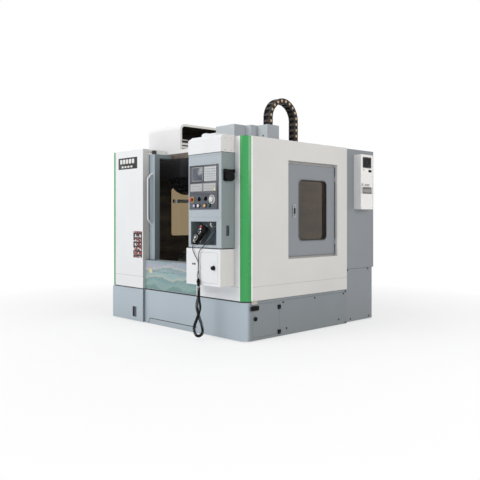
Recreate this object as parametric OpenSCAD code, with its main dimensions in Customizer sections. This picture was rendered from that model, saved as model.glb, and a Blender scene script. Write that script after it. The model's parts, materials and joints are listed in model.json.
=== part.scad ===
// Vertical machining centre with a travelling column head, cross table and side tool magazine.
// Millimetres. The origin is on the floor, in the middle of the four foundation bolts.
// +X is to the operator's right, +Y runs to the back and +Z is up.

/* [Enclosure] */
// Middle of the machine to the outside of the left wall
left_w = 1125; // [1050:5:1300]
// Middle of the machine to the outside of the right wall
right_w = 1165; // [1100:5:1300]
// Middle of the machine to the main front plane
front_d = 950; // [930:5:1050]
// Middle of the machine to the back edge of the side walls
rear_d = 647; // [645:1:660]
// Height of the enclosure
case_h = 1990; // [1960:5:2100]
// Height of the base skirt
skirt_h = 380; // [360:5:400]
// Space under the skirt
skirt_lift = 8; // [5:1:20]
// Dark joint between the skirt and the enclosure
skirt_gap = 12; // [6:1:20]
// Sheet steel of the panels
sheet = 3; // [2:0.5:5]
// Radius of the front right corner
corner_r = 91; // [60:1:120]
// Width of the painted strip on the left corner
left_strip_w = 35; // [20:1:60]
// How far the left front bay stands forward
bay_d = 30; // [15:1:40]
// Height of the pressed line across the panels
crease_z = 527; // [450:1:600]
// Width of that pressed line
crease_w = 4; // [2:1:8]

/* [Front opening] */
// Left edge of the opening from the middle
open_left = 493; // [450:1:520]
// Right edge of the opening from the middle
open_right = 432; // [400:1:440]
// Height of the sill
sill_z = 715; // [680:1:740]
// Top of the casing to the underside of the strip round the roof notch
lintel_drop = 45; // [40:1:50]
// How far the edges of the opening are folded back
return_d = 55; // [40:1:58]

/* [Front doors] */
// Width of one leaf
leaf_w = 600; // [560:5:620]
// Thickness of a leaf
leaf_t = 68; // [50:1:80]
// Front plane to the front of the leaves
leaf_back = 60; // [58:1:70]
// Depth of a leaf's roof, from the front plane
roof_d = 303; // [250:1:330]
// Height of the folded edge of a leaf's roof
roof_t = 45; // [30:1:60]
// Top of the casing to the top of the leaves
leaf_drop = 61; // [50:1:75]
// Open space between the folded edges and the bottom of a leaf
leaf_lift = 5; // [4:1:10]
// Width of the leading upright of a leaf
stile_w = 105; // [80:1:120]
// Where the two leaves meet, from the middle
meet_x = -30; // [-40:1:-20]
// Travel of each leaf
leaf_travel = 358; // [340:1:360]
// Bottom of the window in a leaf
window_z0 = 1010; // [900:5:1100]
// Top of a leaf to the top of its window
window_drop = 189; // [130:1:280]
// Glass thickness
glass_t = 8; // [5:1:12]
// Glass held behind the edge of its hole
glass_lap = 14; // [10:1:20]
// Bottom of the bow handle
handle_z0 = 1136; // [1100:1:1200]
// Top of a leaf to the top of the bow handle
handle_drop = 234; // [180:1:330]
// Bow handle bar radius
handle_r = 11; // [8:0.5:14]
// Reach of the bow handle in front of the leaf
handle_reach = 66; // [50:1:75]

/* [Side doors] */
// Front plane to the front edge of the recess
side_y0 = 607; // [560:1:640]
// Front plane to the rear edge of the recess
side_y1 = 1420; // [1380:1:1440]
// Bottom of the recess
side_z0 = 777; // [740:1:800]
// Top of the recess
side_z1 = 1787; // [1740:1:1820]
// Depth of the recess in front of the leaf
recess_d = 32; // [25:1:40]
// Thickness of a side leaf
side_leaf_t = 30; // [20:1:36]
// Gap above a side leaf
side_gap_top = 28; // [20:1:32]
// Gap below a side leaf
side_gap_low = 22; // [15:1:28]
// Gap beside a side leaf
side_gap = 8; // [7:1:12]
// Width of the stop that the side leaf closes on
side_stop = 42; // [36:1:50]
// Window from the front plane, near edge
side_win_y0 = 817; // [780:1:840]
// Window from the front plane, far edge
side_win_y1 = 1250; // [1220:1:1280]
// Bottom of the side window
side_win_z0 = 968; // [940:1:1000]
// Top of the side window
side_win_z1 = 1590; // [1550:1:1620]
// Corner radius of the windows
win_r = 35; // [20:1:50]
// How far the side doors open
side_swing = 95; // [80:1:96]

/* [Control box] */
// Left side of the control box from the middle
box_x0 = 521; // [500:1:540]
// Right side of the control box from the middle
box_x1 = 1015; // [980:1:1030]
// Depth of the control box in front of the front plane
box_d = 177; // [160:1:190]
// Underside of the control box
box_z0 = 906; // [900:1:910]
// Top of the control box
box_z1 = 1830; // [1800:1:1850]
// Height of the cowl on top of the control box
cowl_h = 170; // [140:1:200]
// Size of the sloping edge of the cowl
cowl_slope = 30; // [20:1:40]
// Bottom of the hand unit shelf opening
shelf_z0 = 931; // [925:1:940]
// Top of the hand unit shelf opening
shelf_z1 = 1163; // [1140:1:1180]
// Side margin of the shelf opening, left
shelf_x0 = 557; // [550:1:570]
// Right side of the shelf opening
shelf_x1 = 944; // [930:1:950]
// Depth of the shelf
shelf_d = 150; // [130:1:155]
// Left side of the dark control plate
plate_x0 = 540; // [535:1:545]
// Right side of the dark control plate
plate_x1 = 975; // [960:1:990]
// Bottom of the dark control plate
plate_z0 = 1280; // [1270:1:1290]
// Top of the dark control plate
plate_z1 = 1716; // [1700:1:1730]
// Thickness of the control plate
plate_t = 6; // [4:1:8]
// Edge of the hole behind the control plate
plate_lap = 12; // [8:1:16]
// Screen width
screen_w = 170; // [150:1:175]
// Screen height
screen_h = 146; // [120:1:150]
// Press of the buttons
press = 4; // [3:0.5:5]
// Play between a control and its hole
control_play = 0.1; // [0.05:0.01:0.1]

/* [Storage cabinet] */
// Left side of the cabinet from the middle
store_x0 = 497; // [490:1:505]
// Right side of the cabinet from the middle
store_x1 = 1011; // [1000:1:1020]
// Depth of the cabinet in front of the front plane
store_d = 186; // [170:1:190]
// Bottom of the cabinet
store_z0 = 536; // [500:1:560]
// Top of the cabinet
store_z1 = 895; // [880:1:898]
// Left edge of its door
store_door_x0 = 721; // [700:1:740]
// Right edge of its door
store_door_x1 = 971; // [950:1:975]
// Bottom of its door
store_door_z0 = 565; // [560:1:580]
// Top of its door
store_door_z1 = 860; // [840:1:865]
// Thickness of its door
store_door_t = 16; // [10:1:20]
// Gap round doors that lie flush
door_gap = 0.8; // [0.5:0.1:0.9]

/* [Machine] */
// Height of the levelling plates
foot_t = 20; // [15:1:30]
// Floor to the underside of the bed
bed_lift = 45; // [35:1:60]
// Foundation bolts, side to side
bolt_dx = 940; // [920:1:960]
// Foundation bolts, front to back
bolt_dy = 1120; // [1000:5:1160]
// Radius of the foundation bolt holes
bolt_r = 13; // [8:0.5:18]
// Half the width of the bed
bed_half = 350; // [330:1:370]
// Front of the bed from the middle
bed_front = 790; // [780:1:810]
// Back of the bed and column from the middle
bed_rear = 600; // [560:1:610]
// Top of the bed
bed_z = 520; // [500:1:540]
// Guide rail width
rail_w = 35; // [25:1:45]
// Guide rail height
rail_h = 38; // [30:1:45]
// Running clearance on the guide rails
rail_play = 0.1; // [0.05:0.01:0.1]
// Half the distance between the bed rails
bed_rail_x = 250; // [230:1:270]
// Half the width of the column
column_half = 225; // [215:1:230]
// Half the width of the column's foot
column_foot = 300; // [280:1:320]
// Front face of the column from the middle
column_y = 190; // [185:1:195]
// Top of the column
column_z = 2080; // [2060:1:2090]
// Half the distance between the column rails
column_rail_x = 120; // [110:1:125]
// Spindle line in front of the middle
spindle_y = 330; // [320:1:340]
// Travel of the saddle to each side of its middle
y_travel = 200; // [150:5:200]
// Travel of the table to each side of its middle
x_travel = 325; // [200:5:330]
// Travel of the head, down from the top
z_travel = 500; // [300:5:500]
// Spindle nose above the table with the head at the top
nose_gap = 620; // [600:1:640]
// Ball screw radius
screw_r = 16; // [12:0.5:20]
// Radial play of a ball screw in its nut and bearings
screw_play = 0.1; // [0.05:0.01:0.1]
// Half the length of the saddle along the bed
saddle_half_y = 240; // [220:1:250]
// Half the width of the saddle
saddle_half_x = 480; // [460:1:520]
// Thickness of the saddle
saddle_t = 120; // [100:1:130]
// Table length
table_l = 800; // [700:5:900]
// Table width
table_w = 400; // [360:5:420]
// Height of the table top
table_z = 800; // [795:1:820]
// Table thickness
table_t = 82; // [75:1:84]
// T slot opening
slot_w = 18; // [12:1:22]
// T slot pitch
slot_pitch = 100; // [80:1:120]
// Half the width of the spindle head
head_half = 145; // [135:1:150]
// Bore above the spindle taper
drawbar_r = 12.5; // [8:0.5:15]
// Mouth of the spindle taper
taper_r = 22.2; // [18:0.1:25]
// Length of the spindle taper
taper_l = 66; // [50:1:80]
// Radius of the spindle nose
nose_r = 64; // [52:1:70]
// Length of the spindle nose
nose_l = 70; // [55:1:80]
// Radius of the spindle in its bearings
bearing_r = 46; // [36:1:50]
// Length of the spindle
bearing_l = 320; // [280:5:340]
// Height of the flange above the nose
chin_h = 210; // [180:5:240]

/* [Head cover and cable chain] */
// Half the width of the motor cover
cover_half = 160; // [155:1:170]
// Front of the motor cover, in front of the middle
cover_front = 160; // [150:1:180]
// Back of the motor cover, behind the middle
cover_rear = 85; // [80:1:90]
// Top of the motor cover with the head at the top
cover_z1 = 2290; // [2270:1:2310]
// Bottom of the motor cover
cover_z0 = 1990; // [1980:1:2000]
// Left side of the cable cover
cable_x0 = 242; // [240:1:250]
// Right side of the cable cover
cable_x1 = 413; // [405:1:420]
// Front of the cable cover
cable_y0 = 130; // [125:1:135]
// Back of the cable cover
cable_y1 = 330; // [320:1:340]
// Chain width
chain_w = 98; // [80:1:100]
// Chain height
chain_h = 63; // [50:1:70]
// Pitch of the chain links
chain_pitch = 71; // [65:1:80]
// Bend radius of the chain
chain_r = 223; // [200:1:230]
// Middle of the moving leg, behind the middle of the machine
chain_y = 200; // [195:1:205]
// Middle height of the bend
chain_z = 2373; // [2350:1:2400]

/* [Tool magazine] */
// Right end of the hood, left of the middle
hood_x = 480; // [470:1:490]
// Front of the hood, in front of the middle
hood_front = 450; // [440:1:460]
// Back of the hood, behind the middle
hood_rear = 450; // [400:1:460]
// Top of the hood
hood_z = 2334; // [2300:1:2360]
// Corner radius of the hood
hood_r = 70; // [40:1:90]
// Width of the rim at its open end
hood_rim = 28; // [20:1:32]
// Number of tool pots
pots = 20; // [12:1:22]
// Radius of the circle of pots
pot_circle = 240; // [220:1:245]
// Radius of a tool pot
pot_r = 32; // [26:1:34]
// Length of a tool pot
pot_l = 110; // [90:1:115]
// Front plane side of the disc centre, in front of the middle
disc_y = 150; // [145:1:155]
// Radius of the arbor that the disc turns on
arbor_r = 25; // [20:1:30]
// Play of the arbor in the disc
arbor_play = 0.05; // [0.02:0.01:0.1]
// Tool pot line, left of the middle
pot_x = 640; // [630:1:650]
// Thickness of the tool change arm
arm_t = 40; // [30:1:45]
// Half the width of the tool change arm
arm_half = 30; // [25:1:34]

/* [Electrical cabinet] */
// How far the cabinet's side is set in from the enclosure
cabinet_in = 30; // [20:1:40]
// Cabinet width
cabinet_w = 800; // [700:5:830]
// Space between the side wall and the cabinet
cabinet_gap = 6; // [4:1:10]
// Cabinet depth
cabinet_d = 524; // [480:1:540]
// Thickness of the cabinet door
cabinet_door_t = 32; // [20:1:40]
// Height of the joint between the lower cover and the cabinet
cabinet_z = 611; // [590:1:630]
// Space under the lower cover
cabinet_lift = 10; // [8:1:20]
// Radius of the power cable inlet
power_inlet_r = 16; // [10:0.5:25]
// Radius of the compressed air inlet
air_inlet_r = 6.6; // [5:0.1:10]
// Depth of the cooling unit on the cabinet's side
cooler_d = 95; // [80:1:110]
// Cooling unit, near edge from the front plane
cooler_y0 = 1773; // [1760:1:1790]
// Cooling unit, far edge from the front plane
cooler_y1 = 2014; // [1990:1:2030]
// Bottom of the cooling unit
cooler_z0 = 1298; // [1280:1:1310]
// Top of the cooling unit
cooler_z1 = 1928; // [1900:1:1940]

/* [Hatch and tank] */
// Hatch in the skirt, near edge from the front plane
hatch_y0 = 100; // [98:1:110]
// Hatch in the skirt, far edge from the front plane
hatch_y1 = 462; // [440:1:480]
// Bottom of the hatch
hatch_z0 = 40; // [30:1:60]
// Top of the hatch
hatch_z1 = 355; // [350:1:360]
// Left end of the tank recess, left of the middle
notch_x0 = 435; // [400:1:450]
// Right end of the tank recess
notch_x1 = 435; // [400:1:450]
// Height of the tank recess
notch_h = 65; // [50:1:80]

/* [Hand unit and cord] */
// Length of the hand unit
unit_l = 205; // [180:1:210]
// Width of the hand unit
unit_w = 78; // [60:1:85]
// Thickness of the hand unit
unit_t = 36; // [30:1:45]
// Lean of the hand unit to the side
unit_lean = 36; // [30:1:40]
// Tip of the hand unit to the back
unit_tip = 15; // [10:1:20]
// Diameter of the straight leads
lead_d = 6; // [5:0.5:7]
// Outside diameter of the curly cord
curl_d = 26; // [18:1:26]

/* [Hidden] */
lintel_z = case_h - lintel_drop;
leaf_top = case_h - leaf_drop;
window_z1 = leaf_top - window_drop;
handle_z1 = leaf_top - handle_drop;
$fn = 48;
eps = 0.01;
seat = 0.3;

front_y = -front_d;
body_z = skirt_h + skirt_gap;
sill_back = front_y + return_d;
leaf_y0 = front_y + leaf_back;
leaf_y1 = leaf_y0 + leaf_t;
leaf_z0 = sill_z + leaf_lift;
guide_w = 40;
guide_y0 = (leaf_y0 + leaf_y1 - guide_w) / 2;
guide_y1 = guide_y0 + guide_w;
roof_y = front_y + roof_d;
lintel_y = roof_y + 7;
bay_y = front_y - bay_d;
left_lead = meet_x - leaf_travel;
right_lead = meet_x + leaf_travel;
box_y = front_y - box_d;
store_y = front_y - store_d;
nose_z = table_z + nose_gap;
rail_top = bed_z + rail_h;
saddle_z0 = rail_top + 4;
saddle_z1 = saddle_z0 + saddle_t;
cabinet_y0 = rear_d + cabinet_gap;
cabinet_y1 = cabinet_y0 + cabinet_d;
cabinet_x1 = right_w - cabinet_in;
cabinet_x0 = cabinet_x1 - cabinet_w;
disc_z = nose_z + pot_l + pot_circle;

// A box between two corners, given as ranges along X, Y and Z
module span(x, y, z) {
    translate([x[0], y[0], z[0]])
        cube([x[1] - x[0], y[1] - y[0], z[1] - z[0]]);
}

// A flat outline in X and Z, made solid from y[0] to y[1]
module along_y(y) {
    translate([0, y[1], 0])
        rotate([90, 0, 0])
            linear_extrude(y[1] - y[0])
                children();
}

// A flat outline in Y and Z, made solid from x[0] to x[1]
module along_x(x) {
    translate([x[0], 0, 0])
        rotate([90, 0, 90])
            linear_extrude(x[1] - x[0])
                children();
}

// A rectangle with round corners, between two ranges
module rounded(u, v, r) {
    translate([u[0] + r, v[0]])
        square([u[1] - u[0] - 2 * r, v[1] - v[0]]);
    translate([u[0], v[0] + r])
        square([u[1] - u[0], v[1] - v[0] - 2 * r]);
    for (a = [u[0] + r, u[1] - r], b = [v[0] + r, v[1] - r])
        translate([a, b])
            circle(r);
}

function grow(range, by) = [range[0] - by, range[1] + by];
function about(middle, half) = [middle - half, middle + half];

// Cast iron machine

module bed() {
    lug_half = 60;
    lug_h = 90;
    bearing = [50, 40];
    recess = [60, 275];
    recess_z = [bed_lift + lug_h + 40, bed_z - 70];
    color("gray")
    difference() {
        union() {
            span([-bed_half, bed_half], [-bed_front, bed_rear], [bed_lift, bed_z]);
            for (sx = [-1, 1])
                span(about(sx * bed_rail_x, rail_w / 2), [-bed_front, rail_rear], [bed_z, rail_top]);
            // Lugs that stand on the levelling feet
            for (side = [0, 1], sy = [-1, 1])
                mirror([side, 0, 0])
                    span([bed_half - 10, post_x + post_r + 10], about(sy * bolt_dy / 2, lug_half),
                         [bed_lift, bed_lift + lug_h]);
            // Bearings of the Y screw and its motor
            for (y = [-bed_front, rail_rear - bearing[1]])
                span([-bearing[0], bearing[0]], [y, y + bearing[1]], [bed_z, saddle_z0 - 2]);
            span(about(0, motor_half), [-bed_front - motor_l, -bed_front], about(screw_z, motor_half));
        }
        y_screw_bore();
        for (sx = [-1, 1])
            span(about(sx * bed_half, recess[0]), about(0, recess[1]), recess_z);
    }
}

rail_rear = column_y - 20;
motor_half = 65;
motor_l = 90;
post_x = bolt_dx / 2 - 75;
post_r = 24;

screw_z = bed_z + rail_h / 2;

module y_screw_bore() {
    translate([0, -bed_front + 10, screw_z])
        rotate([-90, 0, 0])
            cylinder(r = screw_r + screw_play, h = bed_front + column_y);
}

module column() {
    slope_z = 1200;
    flare_z = bed_z + 180;
    cap = [column_z - 35, column_z];
    z_motor = 65;
    color("gainsboro")
    difference() {
        union() {
            along_y([column_y, bed_rear])
                polygon([
                    [-column_foot, bed_z], [column_foot, bed_z], [column_foot, flare_z],
                    [column_half, slope_z], [column_half, column_z], [-column_half, column_z],
                    [-column_half, slope_z], [-column_foot, flare_z]
                ]);
            for (sx = [-1, 1])
                span([sx * column_rail_x - rail_w / 2, sx * column_rail_x + rail_w / 2],
                     [column_y - rail_h, column_y], [z_low, column_z]);
            for (z = [cap, [z_low, z_low + 35]])
                span([-45, 45], [screw_y - 30, column_y], z);
            span([-z_motor, z_motor], [screw_y - 65, screw_y + 65], [column_z, column_z + 210]);
        }
        translate([0, screw_y, z_low - eps])
            cylinder(r = screw_r + screw_play, h = column_z - z_low + 20);
    }
}

z_low = 880;
screw_y = column_y - screw_r - 12;

module levelling_feet() {
    plate = [190, 130];
    color("dimgray")
    for (sx = [-1, 1], sy = [-1, 1])
        translate([sx * bolt_dx / 2, sy * bolt_dy / 2, 0])
            difference() {
                union() {
                    translate([-plate[0] / 2 - sx * 50, -plate[1] / 2, 0])
                        cube([plate[0], plate[1], foot_t]);
                    translate([sx * (post_x - bolt_dx / 2), 0, 0])
                        cylinder(r = post_r, h = bed_lift);
                }
                translate([0, 0, -eps])
                    cylinder(r = bolt_r, h = foot_t + 2 * eps);
            }
}

// Enclosure

// The plan of the enclosure, drawn in by a distance
module plan(by) {
    r = corner_r - by;
    x = [-left_w + by, right_w - by];
    y = [front_y + by, rear_d - by];
    translate([x[0], y[0] + r])
        square([x[1] - x[0], y[1] - y[0] - r]);
    translate([x[0], y[0]])
        square([x[1] - x[0] - r, r + eps]);
    translate([x[1] - r, y[0] + r])
        circle(r);
}

module base_skirt() {
    bay_x = [-left_w, -open_left];
    slot = [-702, -623];
    slot_z = [52, 169];
    color("lightsteelblue")
    difference() {
        union() {
            difference() {
                translate([0, 0, skirt_lift])
                    linear_extrude(skirt_h - skirt_lift)
                        plan(0);
                translate([0, 0, skirt_lift - eps])
                    linear_extrude(skirt_h - skirt_lift + 2 * eps)
                        plan(sheet);
            }
            span(bay_x, [bay_y, front_y + sheet], [skirt_lift, skirt_h]);
            // Ledge that the enclosure stands on, set back to leave the dark joint
            translate([0, 0, skirt_h - sheet])
                linear_extrude(sheet + skirt_gap)
                    difference() {
                        plan(joint_back);
                        plan(rear_d - bed_rear - sheet);
                    }
            // Hinge blocks of the hatch
            for (z = hatch_hinges)
                span([right_w - sheet, right_w + hinge_r + 2], [hatch_axis + hinge_r + 1, hatch_axis + hinge_r + 16],
                     [z - 18, z + 18]);
            for (z = hatch_hinges)
                translate([right_w + hinge_r, hatch_axis, z - 18]) {
                    cylinder(r = hinge_r, h = 12);
                    translate([-hinge_r, 0, 0])
                        cube([2 * hinge_r, hinge_r + 2, 12]);
                }
        }
        span([bay_x[0] + sheet, bay_x[1] - sheet], [bay_y + sheet, front_y + 2 * sheet],
             [skirt_lift - eps, skirt_h - sheet]);
        span(slot, [bay_y - eps, bay_y + 2 * sheet], slot_z);
        along_y([front_y - eps, front_y + 2 * sheet])
            polygon([
                [-notch_x0, 0], [notch_x1, 0], [notch_x1, notch_h], [-notch_x0 + notch_h / 2, notch_h]
            ]);
        span([right_w - 2 * sheet, right_w + eps], [front_y + hatch_y0 - door_gap, front_y + hatch_y1 + door_gap],
             [hatch_z0 - door_gap, hatch_z1 + door_gap]);
    }
}

joint_back = 2;
hinge_r = 6;
hatch_axis = front_y + hatch_y1 + 3;
hatch_hinges = [55, 304];

module skirt_hatch() {
    knob = [front_y + 129, 218];
    color("lightsteelblue")
    union() {
        span([right_w - sheet, right_w], [front_y + hatch_y0, front_y + hatch_y1], [hatch_z0, hatch_z1]);
        for (z = hatch_hinges)
            translate([right_w + hinge_r, hatch_axis, z - 18 + 12 + seat]) {
                cylinder(r = hinge_r, h = 12);
                translate([-hinge_r, -hinge_r - 10, 0])
                    cube([hinge_r, hinge_r + 10, 12]);
            }
        translate([right_w - eps, knob[0], knob[1]])
            rotate([0, 90, 0])
                cylinder(r = 14, h = 12);
    }
}

module coolant_tank() {
    x = [-notch_x0 - 60, notch_x1 + 60];
    y = [front_y + sheet + seat, -bed_front - 12];
    color("slategray")
    difference() {
        span(x, y, [0, notch_h + 130]);
        span(grow(x, -sheet), grow(y, -sheet), [sheet, notch_h + 130 + eps]);
    }
}

// A front panel folded back along one upright edge
module folded_front(x, y, z, edge, depth) {
    difference() {
        union() {
            span(x, [y, y + sheet], z);
            span(edge, [y, y + depth], z);
        }
        span(grow(x, eps), [y - eps, y + 1], [crease_z - crease_w / 2, crease_z + crease_w / 2]);
    }
}

module left_front_panel() {
    color("white")
    union() {
        folded_front([-left_w + left_strip_w, -open_left], bay_y, [body_z, case_h],
                     [-open_left - sheet, -open_left], bay_d + return_d - seat);
        span([-left_w + left_strip_w, -open_left], [bay_y, front_y + return_d - seat], [case_h - sheet, case_h]);
        span([-left_w + left_strip_w, -open_left - sheet], [bay_y + eps, front_y + return_d - seat], [body_z, body_z + sheet]);
    }
}

module right_front_panel() {
    color("white")
    union() {
        folded_front([open_right, right_w - corner_r], front_y, [body_z, case_h],
                     [open_right, open_right + sheet], return_d);
        span([open_right, right_w - corner_r], [front_y, front_y + return_d], [case_h - sheet, case_h]);
        span([open_right, right_w - corner_r], [front_y, front_y + return_d], [body_z, body_z + sheet]);
    }
}

module front_sill_panel() {
    x = [-open_left, open_right];
    inner = [-left_w + sheet, right_w - corner_r];
    color("powderblue")
    union() {
        span(x, [front_y, front_y + sheet], [body_z, sill_z]);
        span(x, [front_y, guide_y0], [sill_z - sheet, sill_z]);
        span(x, [front_y, sill_back], [body_z, body_z + sheet]);
        // Lower guide of the leaves
        span(inner, [guide_y0, guide_y1], [sill_z - 20, leaf_z0 - seat]);
    }
}

module door_lintel() {
    inner = [-left_w + sheet, right_w - sheet];
    strip = [lintel_z, case_h - sheet];
    color("white")
    union() {
        // Strip round the notch in the roof, beside and behind the opening
        span(inner, [lintel_y, lintel_y + sheet], strip);
        span(inner, [lintel_y, lintel_y + guide_w], [strip[1] - sheet, strip[1]]);
        span([-open_left - sheet, -open_left], [sill_back, lintel_y + eps], strip);
        span([open_right, open_right + sheet], [sill_back, lintel_y + eps], strip);
        // Upper guide behind the roofs of the leaves
        span(inner, [lintel_y, lintel_y + guide_w], [leaf_top - roof_t, lintel_z + sheet]);
    }
}

// Side wall seen from outside, with x as the depth into the machine
module side_wall(y_front) {
    y = [front_y + side_y0, front_y + side_y1];
    z = [side_z0, side_z1];
    stop = recess_d + side_leaf_t + 1;
    difference() {
        union() {
            span([0, sheet], [y_front, rear_d], [body_z, case_h]);
            span([0, 40], [rear_d - sheet, rear_d], [body_z, case_h]);
            span([0, 60], [max(y_front, sill_back), rear_d], [body_z, body_z + sheet]);
            span([0, 40], [max(y_front, sill_back), rear_d], [case_h - sheet, case_h]);
            span([0, stop + sheet], grow(y, sheet), grow(z, sheet));
        }
        span([-eps, stop], y, z);
        span([stop - eps, stop + 2 * sheet], grow(y, -side_stop), grow(z, -side_stop));
        span([-eps, 1], [y_front - eps, rear_d + eps], [crease_z - crease_w / 2, crease_z + crease_w / 2]);
    }
    // Fixed knuckles of the door hinges
    for (z = side_hinges)
        translate([recess_d, side_axis, z - 30]) {
            cylinder(r = hinge_r, h = 29.7);
            translate([-hinge_r, 0, 0])
                cube([2 * hinge_r, side_gap + eps, 29.7]);
        }
}

side_axis = front_y + side_y1 - side_gap;
side_hinges = [side_z0 + 160, side_z1 - 160];

module right_side_panel() {
    color("gainsboro")
    translate([right_w, 0, 0])
        mirror([1, 0, 0])
            side_wall(front_y + corner_r + seat);
}

module left_side_panel() {
    color("gainsboro")
    translate([-left_w, 0, 0])
        side_wall(bay_y + left_strip_w);
}

// Leaf of a side door, with x as the depth into the machine
module side_leaf() {
    y = [front_y + side_y0 + side_gap, front_y + side_y1 - side_gap];
    z = [side_z0 + side_gap_low, side_z1 - side_gap_top];
    skin = 2;
    win_y = [front_y + side_win_y0, front_y + side_win_y1];
    win_z = [side_win_z0, side_win_z1];
    translate([recess_d, 0, 0])
    difference() {
        union() {
            span([0, side_leaf_t], [y[0], y[1] - hinge_r - 1], z);
            for (h = side_hinges)
                translate([0, side_axis, h]) {
                    cylinder(r = hinge_r, h = 30);
                    translate([0, -hinge_r - 2, 0])
                        cube([hinge_r, hinge_r + 2, 30]);
                }
        }
        span([skin, side_leaf_t + eps], grow(y, -25), [z[0] + 25, win_z[0] - 40]);
        span([skin, side_leaf_t + eps], grow(y, -25), [win_z[1] + 40, z[1] - 25]);
        along_x([-eps, side_leaf_t + eps])
            rounded(win_y, win_z, win_r);
        along_x([side_leaf_t - glass_t - 2, side_leaf_t + eps])
            rounded(grow(win_y, glass_lap), grow(win_z, glass_lap), win_r);
        // Seat of the flush latch
        along_x([-eps, 8])
            rounded([front_y + 712, front_y + 738], [1210, 1330], 10);
    }
}

module side_glass() {
    along_x([recess_d + side_leaf_t - glass_t - 2 + seat / 3, recess_d + side_leaf_t - 2])
        rounded(grow([front_y + side_win_y0, front_y + side_win_y1], glass_lap - seat),
                grow([side_win_z0, side_win_z1], glass_lap - seat), win_r);
}

module on_right() {
    translate([right_w, 0, 0])
        mirror([1, 0, 0])
            children();
}

module on_left() {
    translate([-left_w, 0, 0])
        children();
}

module right_side_door() {
    color("gray")
    on_right()
        side_leaf();
}

module left_side_door() {
    color("gray")
    on_left()
        side_leaf();
}

module right_side_window() {
    color("darkslategray")
    on_right()
        side_glass();
}

module left_side_window() {
    color("darkslategray")
    on_left()
        side_glass();
}

module rear_wall() {
    y = [rear_face - sheet, rear_face];
    color("gainsboro")
    union() {
        for (x = [[-left_w + sheet, -column_foot - 3], [column_foot + 3, right_w - sheet]])
            difference() {
                span(x, [y[0], rear_d - sheet], [body_z + sheet, case_h - sheet]);
                span(grow(x, -sheet), [y[1], rear_d], [body_z + 2 * sheet, case_h - 2 * sheet]);
            }
        // Stand of the fixed end of the cable chain
        span(chain_x, [rear_chain_y - chain_h / 2, rear_d - sheet], [case_h - sheet, case_h + eps]);
        span(chain_x, about(rear_chain_y, chain_h / 2), [case_h, case_h + stand_t]);
    }
}

rear_face = rear_d - 40;
stand_t = 8;
chain_x = [cable_x1 - chain_w - 6, cable_x1 - 6];
rear_chain_y = chain_y + 2 * chain_r;

module corner_strips() {
    color("mediumseagreen")
    union() {
        translate([right_w - corner_r, front_y + corner_r, body_z])
            intersection() {
                difference() {
                    cylinder(r = corner_r, h = case_h - body_z);
                    translate([0, 0, -eps])
                        cylinder(r = corner_r - sheet, h = case_h - body_z + 2 * eps);
                }
                translate([seat, -corner_r, 0])
                    cube([corner_r, corner_r, case_h - body_z]);
            }
        translate([-left_w + left_strip_w, bay_y + left_strip_w, body_z])
            intersection() {
                difference() {
                    cylinder(r = left_strip_w, h = case_h - body_z);
                    translate([0, 0, -eps])
                        cylinder(r = left_strip_w - sheet, h = case_h - body_z + 2 * eps);
                }
                translate([-left_strip_w, -left_strip_w, 0])
                    cube([left_strip_w, left_strip_w, case_h - body_z]);
            }
    }
}

// Front doors, drawn as the left leaf with its leading edge at x = 0

module front_leaf() {
    skin = 2;
    rim = 25;
    win_x = [-leaf_w + 60, -stile_w];
    difference() {
        union() {
            span([-leaf_w, 0], [leaf_y0, leaf_y1], [leaf_z0, leaf_top]);
            span([-leaf_w, 0], [leaf_y1 - eps, roof_y], [leaf_top - roof_t, leaf_top]);
        }
        span(grow([-leaf_w, 0], -skin), [leaf_y1, roof_y - skin], [leaf_top - roof_t - eps, leaf_top - skin]);
        span([-leaf_w + rim, -stile_w], [leaf_y0 + skin, leaf_y1 + eps], [leaf_z0 + rim, window_z0 - 40]);
        span([-leaf_w + rim, -stile_w], [leaf_y0 + skin, leaf_y1 + eps], [window_z1 + 40, leaf_top - rim]);
        along_y([leaf_y0 - eps, leaf_y1 + eps])
            rounded(win_x, [window_z0, window_z1], win_r);
        along_y([leaf_y0 + 20, leaf_y0 + 20 + glass_t + 2])
            rounded(grow(win_x, glass_lap), grow([window_z0, window_z1], glass_lap), win_r);
        // Groove that runs on the lower guide
        span([-leaf_w - eps, eps], grow([guide_y0, guide_y1], rail_play), [leaf_z0 - eps, leaf_z0 + eps]);
    }
}

module front_glass() {
    along_y([leaf_y0 + 20 + seat, leaf_y0 + 20 + glass_t])
        rounded(grow([-leaf_w + 60, -stile_w], glass_lap - seat),
                grow([window_z0, window_z1], glass_lap - seat), win_r);
}

module bow_handle() {
    x = -stile_w / 2;
    y = leaf_y0 - handle_reach + handle_r;
    union() {
        for (end = [[handle_z0, 1], [handle_z1, -1]]) {
            translate([x, leaf_y0, end[0]])
                rotate([90, 0, 0])
                    cylinder(r = handle_r, h = handle_reach - handle_r);
            translate([x, y, end[0]])
                sphere(handle_r);
        }
        translate([x, y, handle_z0])
            cylinder(r = handle_r, h = handle_z1 - handle_z0);
    }
}

module left_front_door() {
    color("lightslategray")
    translate([left_lead, 0, 0])
        front_leaf();
}

module left_front_window() {
    color("darkslategray")
    translate([left_lead, 0, 0])
        front_glass();
}

module left_front_handle() {
    color("white")
    translate([left_lead, 0, 0])
        bow_handle();
}

module right_leaf() {
    translate([right_lead, 0, 0])
        mirror([1, 0, 0])
            children();
}

module right_front_door() {
    color("lightslategray")
    right_leaf()
        front_leaf();
}

module right_front_window() {
    color("darkslategray")
    right_leaf()
        front_glass();
}

module right_front_handle() {
    color("white")
    right_leaf()
        bow_handle();
}

// Axes

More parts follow.
